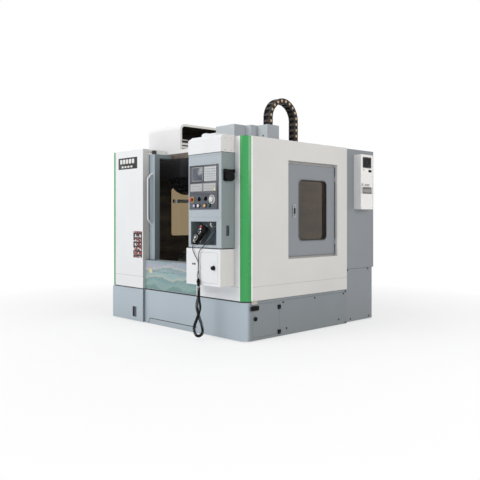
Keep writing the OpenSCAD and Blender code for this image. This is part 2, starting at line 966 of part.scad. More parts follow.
module saddle() {
    carriage = 46;
    motor = [120, 150];
    color("gray")
    difference() {
        union() {
            span([-saddle_half_x, saddle_half_x], about(-spindle_y, saddle_half_y), [saddle_z0, saddle_z1]);
            for (sx = [-1, 1], sy = [-1, 1])
                span([sx * bed_rail_x - carriage, sx * bed_rail_x + carriage],
                     about(-spindle_y + sy * 160, 60), [bed_z + 6, saddle_z0]);
            for (sy = [-1, 1])
                span([-saddle_half_x, saddle_half_x], about(-spindle_y + sy * x_rail_y, rail_w / 2),
                     [saddle_z1, saddle_z1 + rail_h - 6]);
            // Nut of the Y screw
            span([-45, 45], about(-spindle_y, 50), [bed_z + 2, saddle_z0]);
            // Bearings of the X screw and its motor
            for (sx = [-1, 1])
                span([sx * (saddle_half_x - 20) - 20, sx * (saddle_half_x - 20) + 20],
                     about(-spindle_y, 35), [saddle_z1, x_screw_z + 18]);
            span([saddle_half_x, saddle_half_x + 60], about(-spindle_y, motor[0] / 2),
                 [saddle_z0, saddle_z0 + motor[0]]);
        }
        for (sx = [-1, 1])
            span(about(sx * bed_rail_x, rail_w / 2 + rail_play),
                 [-spindle_y - saddle_half_y - eps, -spindle_y + saddle_half_y + eps], [bed_z, rail_top + rail_play]);
        translate([0, -spindle_y - saddle_half_y, screw_z])
            rotate([-90, 0, 0])
                cylinder(r = screw_r + screw_play, h = 2 * saddle_half_y);
        translate([-saddle_half_x - 10, -spindle_y, x_screw_z])
            rotate([0, 90, 0])
                cylinder(r = x_screw_r + screw_play, h = 2 * saddle_half_x + 20);
    }
}

x_rail_y = 130;
x_screw_r = 10;
x_screw_z = saddle_z1 + 16;
table_low = table_z - table_t;
carriage_l = 100;
carriage_x = saddle_half_x - x_travel - carriage_l / 2 - 5;

module table() {
    carriage = 30;
    color("silver")
    difference() {
        union() {
            span([-table_l / 2, table_l / 2], about(-spindle_y, table_w / 2), [table_low, table_z]);
            for (sx = [-1, 1], sy = [-1, 1])
                span(about(sx * carriage_x, carriage_l / 2), about(-spindle_y + sy * x_rail_y, carriage),
                     [saddle_z1 + 4, table_low]);
            span([-40, 40], about(-spindle_y, 30), [saddle_z1 + 1, table_low]);
        }
        for (sy = [-1, 1])
            span([-table_l, table_l], about(-spindle_y + sy * x_rail_y, rail_w / 2 + rail_play),
                 [saddle_z1, saddle_z1 + rail_h - 6 + rail_play]);
        translate([-60, -spindle_y, x_screw_z])
            rotate([0, 90, 0])
                cylinder(r = x_screw_r + screw_play, h = 120);
        for (i = [-1:1])
            translate([0, -spindle_y + i * slot_pitch, 0]) {
                span([-table_l, table_l], [-slot_w / 2, slot_w / 2], [table_z - 30, table_z + eps]);
                span([-table_l, table_l], [-slot_w * 0.85, slot_w * 0.85], [table_z - 32, table_z - 18]);
            }
    }
}

module x_screw() {
    color("silver")
    translate([-saddle_half_x + 2, -spindle_y, x_screw_z])
        rotate([0, 90, 0])
            cylinder(r = x_screw_r, h = 2 * saddle_half_x - 4);
}

module y_screw() {
    color("silver")
    translate([0, -bed_front + 12, screw_z])
        rotate([-90, 0, 0])
            cylinder(r = screw_r, h = bed_front + column_y - 24);
}

module z_screw() {
    color("silver")
    translate([0, screw_y, z_low + 2])
        cylinder(r = screw_r, h = column_z - z_low + 10);
}

head_rear = column_y - rail_h - 6;
head_z = [nose_z + 30, cover_z0];

module spindle_head() {
    chin_z = nose_z + chin_h;
    flange_r = 100;
    color("lightslategray")
    difference() {
        union() {
            along_x([-head_half, head_half])
                polygon([
                    [-spindle_y - 140, chin_z], [-spindle_y + 140, chin_z], [-60, head_z[0]], [head_rear, head_z[0]],
                    [head_rear, head_z[1]], [-cover_front - 10, head_z[1]], [-spindle_y - 100, head_z[1] - 60],
                    [-spindle_y - 140, head_z[1] - 120]
                ]);
            translate([0, -spindle_y, nose_z + nose_l])
                cylinder(r = flange_r, h = chin_z - nose_z - nose_l + 20);
            // Carriages on the column rails
            for (sx = [-1, 1], z = [head_z[0] + 20, head_z[1] - 140])
                span(about(sx * column_rail_x, 24), [head_rear, column_y - 5], [z, z + 120]);
            // Nut of the Z screw
            span([-35, 35], [head_rear, column_y - 3], [head_z[0] + 200, head_z[0] + 290]);
            // Spindle motor
            span([-95, 95], [-cover_front + 25, cover_rear - 25], [head_z[1] - 60, cover_z1 - 30]);
        }
        for (sx = [-1, 1])
            span(about(sx * column_rail_x, rail_w / 2 + rail_play),
                 [column_y - rail_h - rail_play, column_y], [head_z[0] - eps, head_z[1] + eps]);
        translate([0, screw_y, head_z[0] - eps])
            cylinder(r = screw_r + screw_play, h = head_z[1] - head_z[0]);
        translate([0, -spindle_y, nose_z])
            cylinder(r = bearing_r + 0.05, h = bearing_l);
    }
}

module spindle() {
    color("silver")
    translate([0, -spindle_y, nose_z])
        difference() {
            union() {
                cylinder(r = nose_r, h = nose_l - seat);
                cylinder(r = bearing_r, h = bearing_l - 2);
            }
            translate([0, 0, -eps])
                cylinder(r1 = taper_r, r2 = drawbar_r, h = taper_l);
            cylinder(r = drawbar_r, h = bearing_l);
        }
}

module head_cover() {
    z = [cover_z0, cover_z1];
    color("lightgray")
    difference() {
        union() {
            span([-cover_half, cover_half], [-cover_front, cover_rear], z);
            span([cover_half - sheet, cable_x0 + sheet], [cover_rear - 60, cable_y0 + 12], z);
            span([cable_x0, cable_x1], [cable_y0, cable_y1], z);
        }
        span([-cover_half + sheet, cover_half - sheet], [-cover_front + sheet, cover_rear - sheet], [z[0] - eps, z[1] - sheet]);
        span([cover_half - 2 * sheet, cable_x0 + 2 * sheet], [cover_rear - 60 + sheet, cable_y0 + 12 - sheet], [z[0] + sheet, z[1] - sheet]);
        span([cable_x0 + sheet, cable_x1 - sheet], [cable_y0 + sheet, cable_y1 - sheet], [z[0] + sheet, z[1] - sheet]);
        span(grow(chain_x, 2), grow([chain_y - chain_h / 2, chain_y + chain_h / 2], 4), [z[1] - 2 * sheet, z[1] + eps]);
    }
}

module chain_link() {
    length = chain_pitch - 8;
    half = chain_h / 2;
    along_x(chain_x)
        polygon([
            [link_cut - half, 0], [half - link_cut, 0], [half, link_cut], [half, length - link_cut],
            [half - link_cut, length], [link_cut - half, length], [-half, length - link_cut], [-half, link_cut]
        ]);
    // Tongue to the next link
    along_x(grow(chain_x, -8))
        translate([-tongue, length - 1])
            square([2 * tongue, chain_pitch - length + 2]);
    // Pin
    along_x(grow(chain_x, 1.5))
        translate([0, length / 2])
            circle(11);
}

link_cut = 12;
tongue = chain_h / 2 - link_cut - 2;

module drag_chain() {
    front_from = cover_z0 + sheet;
    front_n = floor((chain_z - front_from) / chain_pitch);
    rear_n = floor((chain_z - case_h - stand_t) / chain_pitch);
    arc_n = round(PI * chain_r / chain_pitch);
    color("black")
    union() {
        for (i = [0:front_n - 1])
            translate([0, chain_y, chain_z - (i + 1) * chain_pitch])
                chain_link();
        span(grow(chain_x, -8), about(chain_y, tongue), [front_from, chain_z - front_n * chain_pitch + 2]);
        for (i = [0:arc_n - 1])
            translate([0, chain_y + chain_r, chain_z])
                rotate([-(i + 0.5) * 180 / arc_n, 0, 0])
                    translate([0, -chain_r, -chain_pitch / 2])
                        chain_link();
        for (i = [0:rear_n - 1])
            translate([0, rear_chain_y, chain_z - (i + 1) * chain_pitch])
                chain_link();
        span(grow(chain_x, -8), about(rear_chain_y, tongue), [case_h + stand_t, chain_z - rear_n * chain_pitch + 2]);
    }
}

// Tool magazine

module hood_outline(by) {
    y = [-hood_front + by, hood_rear - by];
    z = [case_h - hood_r, hood_z - by];
    rounded(y, z, hood_r - by);
}

module magazine_hood() {
    x = [-left_w, -hood_x];
    slat = 26;
    pitch = 42;
    color("white")
    union() {
        difference() {
            along_x(x)
                hood_outline(0);
            along_x([x[0] + sheet, x[1] - sheet])
                hood_outline(sheet);
            along_x([x[1] - 2 * sheet, x[1] + eps])
                hood_outline(hood_rim);
            span(grow(x, 1), [-hood_front - 1, hood_rear + 1], [case_h - 2 * hood_r, case_h]);
        }
        for (i = [0:2])
            span([x[1] - sheet, x[1]], [-hood_front + sheet, hood_rear - sheet],
                 [case_h + 6 + i * pitch, case_h + 6 + i * pitch + slat]);
        // Foot on the top of the left wall
        span([x[0], x[0] + 40], [-hood_front, hood_rear], [case_h, case_h + sheet]);
    }
}

// Dark sheet that closes the magazine off from the work area
module magazine_guard() {
    y = [-hood_front + seat, -hood_front + seat + sheet];
    color("dimgray")
    union() {
        span([-left_w + sheet, -hood_x], y, [guard_z, case_h - sheet]);
        span([-left_w + sheet, -hood_x], [y[0], y[0] + guard_lip], [guard_z, guard_z + sheet]);
        span([-hood_x - sheet, -hood_x], [y[0], -hood_front + guard_side], [guard_z, case_h - sheet]);
    }
}

guard_z = 1690;
guard_lip = 20;
guard_side = 450;

arm_x = -pot_x / 2;
arm_y = -(spindle_y + disc_y) / 2;
arm_reach = sqrt(pow(pot_x / 2, 2) + pow((spindle_y - disc_y) / 2, 2));
arm_park = atan2(-(spindle_y - disc_y) / 2, pot_x / 2) - 90;
arm_z = nose_z - arm_t - 4;
shaft_r = 30;
disc_x = -pot_x - 120;

module magazine_frame() {
    back_x = disc_x - 40;
    beam_y = [column_y + 110, column_y + 230];
    bracket_z = [disc_z - 60, disc_z + 20];
    color("dimgray")
    difference() {
        union() {
            // Upright plate that carries the arbor
            span([back_x, back_x + 30], [-disc_y - 130, beam_y[1]], [disc_z - 130, disc_z + 130]);
            translate([back_x, -disc_y, disc_z])
                rotate([0, 90, 0])
                    cylinder(r = arbor_r, h = disc_x - back_x + 40);
            // Beam to the column
            span([back_x, -column_half], beam_y, [disc_z - 60, disc_z + 60]);
            // Housing of the change arm and its bracket
            span([arm_x - housing, arm_x + housing], [arm_y - housing, arm_y + housing],
                 [arm_z + arm_t + seat, bracket_z[1]]);
            span([arm_x - housing, arm_x + housing], [arm_y, beam_y[1]], bracket_z);
        }
        translate([arm_x, arm_y, arm_z])
            cylinder(r = shaft_r + arbor_play, h = shaft_l + 5);
    }
}

housing = 70;
shaft_l = 165;

module tool_carousel() {
    hub_r = 70;
    rim = pot_circle + pot_r + 8;
    color("darkgray")
    translate([disc_x, -disc_y, disc_z])
        rotate([0, 90, 0])
            difference() {
                union() {
                    cylinder(r = rim, h = 16);
                    cylinder(r = hub_r, h = 36);
                    for (i = [0:pots - 1])
                        rotate([0, 0, i * 360 / pots])
                            translate([pot_circle, 0, 0])
                                cylinder(r = pot_r, h = 16 + pot_l);
                }
                translate([0, 0, -1])
                    cylinder(r = arbor_r + arbor_play, h = 60);
                for (i = [0:pots - 1])
                    rotate([0, 0, i * 360 / pots])
                        translate([pot_circle, 0, 40])
                            cylinder(r1 = drawbar_r, r2 = taper_r, h = pot_l);
            }
}

module change_arm() {
    grip_r = 44;
    color("silver")
    translate([arm_x, arm_y, arm_z])
        rotate([0, 0, arm_park])
            difference() {
                union() {
                    translate([-arm_reach, -arm_half, 0])
                        cube([2 * arm_reach, 2 * arm_half, arm_t]);
                    cylinder(r = 62, h = arm_t);
                    cylinder(r = shaft_r, h = shaft_l);
                    for (s = [-1, 1])
                        translate([s * arm_reach, 0, 0])
                            cylinder(r = grip_r, h = arm_t);
                }
                for (s = [-1, 1])
                    translate([s * arm_reach, 0, -eps]) {
                        cylinder(r = 30, h = arm_t + 2 * eps);
                        translate([-30, s > 0 ? 0 : -60, 0])
                            cube([60, 60, arm_t + 2 * eps]);
                    }
            }
}

// Electrical cabinet

module electrical_cabinet() {
    x = [cabinet_x0, cabinet_x1];
    y = [cabinet_y0, cabinet_y1];
    color("gray")
    difference() {
        union() {
            span(x, y, [cabinet_z + 2, case_h]);
            span(x, y, [cabinet_lift, cabinet_z]);
            span(grow(x, -4), grow(y, -4), [cabinet_z - 1, cabinet_z + 3]);
            // Bars that hold it to the rear wall
            for (z = [cabinet_z + 140, case_h - 180])
                span(grow(x, -60), [rear_face, y[0]], [z, z + 40]);
        }
        span(grow(x, -sheet), [y[0] + sheet, y[1] + eps], [cabinet_z + 3 + sheet, case_h - sheet]);
        span(grow(x, -sheet), [y[0] + sheet, y[1] - sheet], [cabinet_lift - eps, cabinet_z - 2 * sheet]);
        for (inlet = [[120, power_inlet_r], [220, air_inlet_r]])
            translate([x[0] + inlet[0], y[1] - 2 * sheet, 200])
                rotate([-90, 0, 0])
                    cylinder(r = inlet[1], h = 4 * sheet);
    }
}

module cabinet_door() {
    x = [cabinet_x0, cabinet_x1];
    y = [cabinet_y1 + seat, cabinet_y1 + seat + cabinet_door_t];
    skin = 2;
    color("gray")
    difference() {
        union() {
            span(x, y, [cabinet_z + 4, case_h]);
            span([x[1] - 60, x[1] - 35], [y[1] - eps, y[1] + 14],
                 about(case_h - 680, 70));
        }
        span(grow(x, -20), [y[0] - eps, y[1] - skin], [cabinet_z + 24, case_h - 20]);
    }
}

module cooling_unit() {
    x = [cabinet_x1, cabinet_x1 + cooler_d];
    y = [front_y + cooler_y0, front_y + cooler_y1];
    z = [cooler_z0, cooler_z1];
    fan_y = (y[0] + y[1]) / 2;
    fan_z = z[1] - 90;
    slot_pitch_z = 11;
    color("whitesmoke")
    difference() {
        span(x, y, z);
        span([x[0] - eps, x[1] - sheet], grow(y, -sheet), grow(z, -sheet));
        translate([x[1] - 2 * sheet, fan_y, fan_z])
            rotate([0, 90, 0])
                difference() {
                    cylinder(r = 58, h = 4 * sheet);
                    translate([0, 0, -1])
                        cylinder(r = 22, h = 4 * sheet + 2);
                    for (a = [0, 90])
                        rotate([0, 0, a + 45])
                            translate([-70, -4, -1])
                                cube([140, 8, 4 * sheet + 2]);
                }
        for (i = [0:6])
            span([x[1] - 2 * sheet, x[1] + eps], grow(y, -9), [1480 + i * slot_pitch_z, 1480 + i * slot_pitch_z + 5]);
        for (i = [0:2])
            span([x[1] - 2 * sheet, x[1] + eps], [y[0] + 9, y[0] + 54], [1566 + i * slot_pitch_z, 1566 + i * slot_pitch_z + 5]);
    }
}

// Control box

module control_box() {
    x = [box_x0, box_x1];
    y = [box_y, front_y];
    z = [box_z0, box_z1];
    shelf_x = [shelf_x0, shelf_x1];
    shelf_z = [shelf_z0, shelf_z1];
    shelf_y = box_y + shelf_d;
    color("lightsteelblue")
    difference() {
        union() {
            difference() {
                union() {
                    span(x, y, z);
                    span(grow(x, -10), [y[0] + 10, y[1]], [store_z1, z[0] + eps]);
                }
                span(grow(x, -sheet), [y[0] + sheet, y[1] - sheet], [store_z1 + sheet, z[1] - sheet]);
            }
            span(grow(shelf_x, sheet), [box_y, shelf_y + sheet], grow(shelf_z, sheet));
            // Hook for the hand unit and its lead
            translate([lead_hook[0], box_y, lead_hook[1]])
                rotate([-90, 0, 0])
                    cylinder(r = 5, h = shelf_d);
        }
        difference() {
            span(shelf_x, [box_y - eps, shelf_y], shelf_z);
            translate([lead_hook[0], box_y, lead_hook[1]])
                rotate([-90, 0, 0])
                    cylinder(r = 5, h = shelf_d + 2);
        }
        span([plate_x0 + plate_lap, plate_x1 - plate_lap], [box_y - eps, box_y + 2 * sheet],
             [plate_z0 + plate_lap, plate_z1 - plate_lap]);
    }
}

lead_hook = [872, 1112];

module control_cowl() {
    x = [box_x0, box_x1];
    z = [box_z1, box_z1 + cowl_h];
    color("white")
    difference() {
        intersection() {
            along_y([box_y - 6, front_y])
                polygon([
                    [x[0], z[0]], [x[1], z[0]], [x[1], z[1]], [x[0] + cowl_slope, z[1]], [x[0], z[1] - cowl_slope]
                ]);
            along_x(x)
                polygon([
                    [box_y - 6, z[0]], [front_y, z[0]], [front_y, z[1]],
                    [box_y - 6 + cowl_slope, z[1]], [box_y - 6, z[1] - cowl_slope]
                ]);
        }
        span(grow(x, -sheet), [box_y - 6 + sheet, front_y - sheet], [z[0] + sheet, z[1] - cowl_slope - sheet]);
    }
}

// Places of the controls on the plate, as x and z
stop_at = [582, 1380];
mode_at = [696, 1384];
rapid_at = [792, 1387];
feed_at = [884, 1378];
button_at = [[624, 1317], [687, 1318], [786, 1317], [849, 1319]];
button_r = 15;
stem_r = 6;
plate_y = box_y - plate_t;

module control_panel() {
    x = [plate_x0, plate_x1];
    screen_x = [plate_x0 + 49, plate_x0 + 49 + screen_w];
    screen_z = [plate_z1 - 25 - screen_h, plate_z1 - 25];
    keys_x = [782, 953];
    key = 17;
    color("dimgray")
    difference() {
        union() {
            span(x, [plate_y, box_y], [plate_z0, plate_z1]);
            // Screen frame
            span(grow(screen_x, 8), [plate_y - 4, plate_y + eps], grow(screen_z, 8));
            // Letter and number keys
            for (i = [0:6], j = [0:5])
                translate([keys_x[0] + i * 25, plate_y - 3, screen_z[0] + j * 25])
                    cube([key, 3 + eps, key]);
            // Function keys under the screen
            for (i = [0:15], j = [0:2])
                translate([plate_x0 + 18 + i * 25, plate_y - 3, 1448 + j * 26])
                    cube([key, 3 + eps, key]);
        }
        span(screen_x, [plate_y - 4 - eps, plate_y - 1], screen_z);
        for (p = concat([stop_at, mode_at, rapid_at, feed_at], button_at))
            translate([p[0], plate_y - eps, p[1]])
                rotate([-90, 0, 0])
                    cylinder(r = stem_r + control_play, h = plate_t + 2 * eps);
    }
}

// A control with a stem through the plate, its back a distance from the plate
module control(at, clear) {
    translate([at[0], plate_y, at[1]])
        rotate([90, 0, 0]) {
            translate([0, 0, -plate_t - 8])
                cylinder(r = stem_r, h = plate_t + 8 + clear + eps);
            translate([0, 0, clear])
                children();
        }
}

module e_stop_button() {
    color("red")
    control(stop_at, press + seat)
        union() {
            cylinder(r = 20, h = 8);
            cylinder(r = 12, h = 16);
            translate([0, 0, 14])
                cylinder(r = 21, h = 13);
        }
}

module selector_knob(at) {
    control(at, seat)
        union() {
            cylinder(r = 19, h = 8);
            translate([-5, -19, 7])
                cube([10, 38, 13]);
        }
}

module mode_knob() {
    color("black")
    selector_knob(mode_at);
}

module rapid_knob() {
    color("black")
    selector_knob(rapid_at);
}

module feed_dial() {
    color("white")
    control(feed_at, seat)
        union() {
            cylinder(r = 34, h = 10);
            cylinder(r = 25, h = 18);
            translate([17, 0, 16])
                cylinder(r = 5, h = 16);
        }
}

module push_button(i) {
    control(button_at[i], press + seat)
        union() {
            cylinder(r = button_r, h = 6);
            cylinder(r = button_r - 3, h = 8);
        }
}

module lilac_button() {
    color("thistle")
    push_button(0);
}

module white_button() {
    color("white")
    push_button(1);
}

module amber_button() {
    color("orange")
    push_button(2);
}

module green_button() {
    color("green")
    push_button(3);
}

module cord_hook() {
    x = [box_x1, box_x1 + 40];
    y = [front_y - 154, front_y - 21];
    z = [box_z1 - 281, box_z1 - 163];
    color("black")
    union() {
        along_x([x[0], x[0] + 3])
            rounded(y, [z[0] + 20, z[1]], 12);
        along_x([x[0] + 34, x[1]])
            rounded(y, [z[0], z[1] - 30], 40);
        along_x(x)
            rounded([y[0] + 35, y[1] - 35], [z[0] + 30, z[0] + 62], 14);
    }
}

module storage_cabinet() {
    x = [store_x0, store_x1];
    y = [store_y, front_y];
    z = [store_z0, store_z1];
    door_x = [store_door_x0, store_door_x1];
    door_z = [store_door_z0, store_door_z1];
    color("white")
    difference() {
        span(x, y, z);
        span(grow(x, -sheet), [y[0] + sheet, y[1] - sheet], grow(z, -sheet));
        span(grow(door_x, door_gap), [y[0] - eps, y[0] + 2 * sheet], grow(door_z, door_gap));
        for (px = [600, 631])
            translate([px, y[0] - eps, 741])
                rotate([-90, 0, 0])
                    cylinder(r = 9, h = 2 * sheet);
    }
}

module storage_door() {
    color("white")
    union() {
        span([store_door_x0, store_door_x1], [store_y, store_y + store_door_t], [store_door_z0, store_door_z1]);
        translate([store_door_x1 - 56, store_y, 714])
            rotate([90, 0, 0])
                union() {
                    cylinder(r = 9, h = 12);
                    translate([0, 0, 10])
                        cylinder(r = 17, h = 14);
                }
    }
}

// Hand unit and its cord

// Puts its children in the hand unit's own frame, with x along its width and z along its length
module at_unit() {
    translate([unit_at[0], box_y + 12, unit_at[1]])
        rotate([-unit_tip, 0, 0])
            rotate([0, unit_lean, 0])
                children();
}

unit_at = [684, 1031.3];

module hand_unit() {
    color("black")
    at_unit()
        difference() {
            union() {
                along_y([-unit_t / 2, unit_t / 2])
                    rounded([-unit_w / 2, unit_w / 2], [-unit_l / 2, unit_l / 2], 18);
                // Emergency stop and selector knobs
                translate([-16, -unit_t / 2, unit_l / 2 - 24])
                    rotate([90, 0, 0])
                        cylinder(r = 14, h = 16);
                for (s = [-1, 1])
                    translate([s * 18, -unit_t / 2, 22])
                        rotate([90, 0, 0])
                            cylinder(r = 11, h = 12);
                // Strain relief of the lead
                translate([0, 0, -unit_l / 2 - 22])
                    cylinder(r = 8, h = 24);
            }
            translate([0, -unit_t / 2 + 4, wheel_z])
                rotate([90, 0, 0])
                    cylinder(r = 5.1, h = 12);
        }
}

wheel_z = -46;

module hand_wheel() {
    color("white")
    at_unit()
        translate([0, -unit_t / 2, wheel_z])
            rotate([90, 0, 0])
                union() {
                    translate([0, 0, -3.8])
                        cylinder(r = 5, h = 5);
                    translate([0, 0, seat])
                        cylinder(r = 31, h = 10);
                    translate([0, 0, seat])
                        cylinder(r = 25, h = 15);
                    translate([18, 0, 14])
                        cylinder(r = 5, h = 12);
                }
}

// Unit vector from one point to another
function toward(a, b) = (b - a) / norm(b - a);
// Direction of a route at one of its points
function heading(p, i) = toward(p[max(i - 1, 0)], p[min(i + 1, len(p) - 1)]);
// Side direction of a ring, square to the heading
function side_of(d) = toward([0, 0, 0], cross(d, abs(d[1]) > 0.9 ? [1, 0, 0] : [0, 1, 0]));

// A round tube that follows a route
module tube(p, r, sides) {
    rings = [
        for (i = [0:len(p) - 1])
            let (d = heading(p, i), a = side_of(d), b = cross(d, a))
                for (k = [0:sides - 1])
                    p[i] + r * (a * cos(k * 360 / sides) + b * sin(k * 360 / sides))
    ];
    last = len(p) - 1;
    faces = concat(
        [[for (k = [0:sides - 1]) k]],
        [[for (k = [0:sides - 1]) last * sides + sides - 1 - k]],
        [
            for (i = [0:last - 1], k = [0:sides - 1])
                [
                    i * sides + k, (i + 1) * sides + k,
                    (i + 1) * sides + (k + 1) % sides, i * sides + (k + 1) % sides
                ]
        ]
    );
    polyhedron(points = rings, faces = faces);
}

// From the hand unit down to the curly cord
lead_a = [
    [611, -1141, 934], [605, -1143, 926], [600, -1145, 916], [597, -1147, 902], [599, -1149, 885],
    [608, -1150, 862], [624, -1151, 835], [646, -1152, 808], [668, -1152, 785], [686, -1152, 765],
    [696, -1152, 740], [702, -1148, 702], [706, -1152, 660], [712, -1152, 622], [708, -1152, 590],
    [712, -1152, 565], [714, -1152, 548]
];
// From the back of the shelf, round its hook and down to the curly cord
lead_b = [
    [905, -977, 1135], [905, -993, 1135], [902, -1014, 1134], [892, -1030, 1131], [876, -1042, 1129],
    [862, -1050, 1124], [856, -1056, 1112], [861, -1062, 1100], [876, -1070, 1095], [902, -1082, 1092],
    [926, -1094, 1082], [938, -1106, 1068], [932, -1118, 1045], [906, -1130, 1015], [870, -1138, 981],
    [830, -1142, 947], [790, -1146, 917], [748, -1148, 897], [724, -1150, 880], [709, -1151, 852],
    [706, -1152, 815], [706, -1152, 780], [706, -1152, 742], [702, -1157, 700], [698, -1152, 660],
    [690, -1152, 622], [696, -1152, 590], [692, -1152, 565], [690, -1152, 548]
];
// The curly cord, down in front, round its bottom loop and up again, crossed once
coil_route = [
    [714, -1152, 548], [719, -1154, 515], [725, -1157, 475], [727, -1160, 430], [724, -1164, 385],
    [716, -1169, 340], [704, -1174, 295], [688, -1178, 250], [668, -1177, 205], [651, -1174, 165],
    [642, -1171, 125], [645, -1168, 86], [663, -1166, 54], [690, -1165, 42], [717, -1164, 54],
    [736, -1162, 86], [740, -1160, 125], [731, -1157, 165], [714, -1154, 205], [696, -1152, 250],
    [680, -1152, 295], [668, -1152, 340], [660, -1152, 385], [657, -1152, 430], [662, -1152, 475],
    [676, -1152, 515], [690, -1152, 548]
];

module hand_unit_lead() {
    color("black")
    union() {
        tube(lead_a, lead_d / 2, 8);
        tube(lead_b, lead_d / 2, 8);
    }
}

module hand_unit_coil() {
    color("black")
    tube(coil_route, curl_d / 2, 10);
}

bed();
column();
levelling_feet();
base_skirt();
coolant_tank();
left_front_panel();
right_front_panel();
front_sill_panel();
door_lintel();
left_side_panel();
right_side_panel();
rear_wall();
corner_strips();
magazine_hood();
magazine_frame();
drag_chain();
electrical_cabinet();
cooling_unit();
control_cowl();
control_box();
control_panel();
storage_cabinet();
hand_unit();
hand_unit_lead();
hand_unit_coil();
cord_hook();
saddle();
table();
spindle_head();
head_cover();
spindle();
left_front_door();
left_front_window();
left_front_handle();
right_front_door();
right_front_window();
right_front_handle();
right_side_door();
right_side_window();
left_side_door();
left_side_window();
tool_carousel();
change_arm();
storage_door();
skirt_hatch();
cabinet_door();
e_stop_button();
mode_knob();
rapid_knob();
feed_dial();
lilac_button();
white_button();
amber_button();
green_button();
x_screw();
y_screw();
z_screw();
hand_wheel();
magazine_guard();
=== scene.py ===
# %% [markdown]
# # A vertical machining centre, dressed in Blender
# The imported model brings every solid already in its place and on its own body. This notebook gives the
# solids their paint, steel, glass and plastic, adds the small parts that a plain solid leaves out, such as
# seals, keys, screws and a curly cord, and puts the machine on a pale studio floor.

# %% Load the machine
import json
import math

import bmesh
import bpy
from mathutils import Matrix, Vector

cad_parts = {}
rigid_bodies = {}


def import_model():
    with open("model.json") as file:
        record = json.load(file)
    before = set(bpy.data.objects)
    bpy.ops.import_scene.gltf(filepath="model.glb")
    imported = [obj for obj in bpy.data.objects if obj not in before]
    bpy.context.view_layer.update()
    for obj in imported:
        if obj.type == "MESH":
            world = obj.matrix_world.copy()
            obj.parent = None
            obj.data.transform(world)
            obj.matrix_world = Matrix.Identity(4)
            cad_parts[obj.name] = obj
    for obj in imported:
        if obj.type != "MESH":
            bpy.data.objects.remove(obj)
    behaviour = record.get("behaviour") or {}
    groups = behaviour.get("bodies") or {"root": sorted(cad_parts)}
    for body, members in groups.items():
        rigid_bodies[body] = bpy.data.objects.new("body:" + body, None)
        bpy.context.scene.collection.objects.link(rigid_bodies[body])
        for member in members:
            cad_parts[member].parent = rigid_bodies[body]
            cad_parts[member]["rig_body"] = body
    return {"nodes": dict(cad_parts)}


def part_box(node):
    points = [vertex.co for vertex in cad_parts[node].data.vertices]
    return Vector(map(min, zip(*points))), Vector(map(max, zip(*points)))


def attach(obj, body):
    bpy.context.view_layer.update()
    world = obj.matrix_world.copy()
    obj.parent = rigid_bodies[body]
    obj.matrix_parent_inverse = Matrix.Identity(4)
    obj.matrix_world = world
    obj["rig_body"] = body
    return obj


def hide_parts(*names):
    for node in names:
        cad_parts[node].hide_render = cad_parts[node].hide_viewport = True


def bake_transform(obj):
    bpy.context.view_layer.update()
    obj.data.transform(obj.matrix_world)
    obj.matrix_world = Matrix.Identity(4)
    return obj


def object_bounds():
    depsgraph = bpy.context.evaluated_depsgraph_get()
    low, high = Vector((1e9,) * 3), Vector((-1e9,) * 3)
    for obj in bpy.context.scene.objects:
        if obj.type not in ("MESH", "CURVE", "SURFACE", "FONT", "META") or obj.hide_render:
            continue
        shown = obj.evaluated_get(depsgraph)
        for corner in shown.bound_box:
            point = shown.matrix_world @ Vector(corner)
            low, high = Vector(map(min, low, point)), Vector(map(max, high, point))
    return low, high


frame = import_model()
nodes = frame["nodes"]
cad_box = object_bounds()

# %% [markdown]
# ## The camera
# The camera was worked out from the photograph: upright edges stay upright, so the camera looks level, and
# the horizon lies above the middle of the picture, so the lens is shifted down instead of tilted. A shift
# keeps the uprights parallel, which a tilt would not.

# %% Camera
PICTURE, FOCUS, MIDDLE_U, HORIZON_V = 480, 617.92, 241.28, 218.39
CAMERA_TURN = 46.27
camera_data = bpy.data.cameras.new("photo_view")
camera_data.sensor_width = 36.0
camera_data.lens = camera_data.sensor_width * FOCUS / PICTURE
camera_data.shift_x = (PICTURE / 2 - MIDDLE_U) / PICTURE
camera_data.shift_y = (HORIZON_V - PICTURE / 2) / PICTURE
camera = bpy.data.objects.new("photo_view", camera_data)
bpy.context.collection.objects.link(camera)
camera.location = (5.3942, -5.0543, 1.1928)
camera.rotation_euler = (math.radians(90), 0, math.radians(CAMERA_TURN))
bpy.context.scene.camera = camera
print("lens", round(camera_data.lens, 2), "mm")

# %% [markdown]
# ## Shader maths as plain expressions
# A paint job is a small formula: a base colour, plus a little dust near the floor, minus a little shine
# where hands touch. Wiring Math nodes by hand hides that formula, so `Wire` wraps one socket and lets
# ordinary operators build the nodes. `Paint` owns a material and makes every other node with one method.

# %% A socket that can be added and multiplied
class Wire:
    """The output of a shader node, used like a number."""

    def __init__(self, paint, socket):
        self.paint = paint
        self.socket = socket

    def maths(self, operation, *values):
        return self.paint.node("Math", {"operation": operation}, *values)

    def __rsub__(self, other):
        return self.maths("SUBTRACT", other, self)

    def __abs__(self):
        return self.maths("ABSOLUTE", self)


OPERATORS = {"add": "ADD", "radd": "ADD", "sub": "SUBTRACT", "mul": "MULTIPLY", "rmul": "MULTIPLY",
             "gt": "GREATER_THAN", "lt": "LESS_THAN", "mod": "FLOORED_MODULO"}
for word, operation in OPERATORS.items():
    setattr(Wire, f"__{word}__", lambda self, other, operation=operation: self.maths(operation, self, other))


# %% A material that is built from expressions
PAINTS = {}


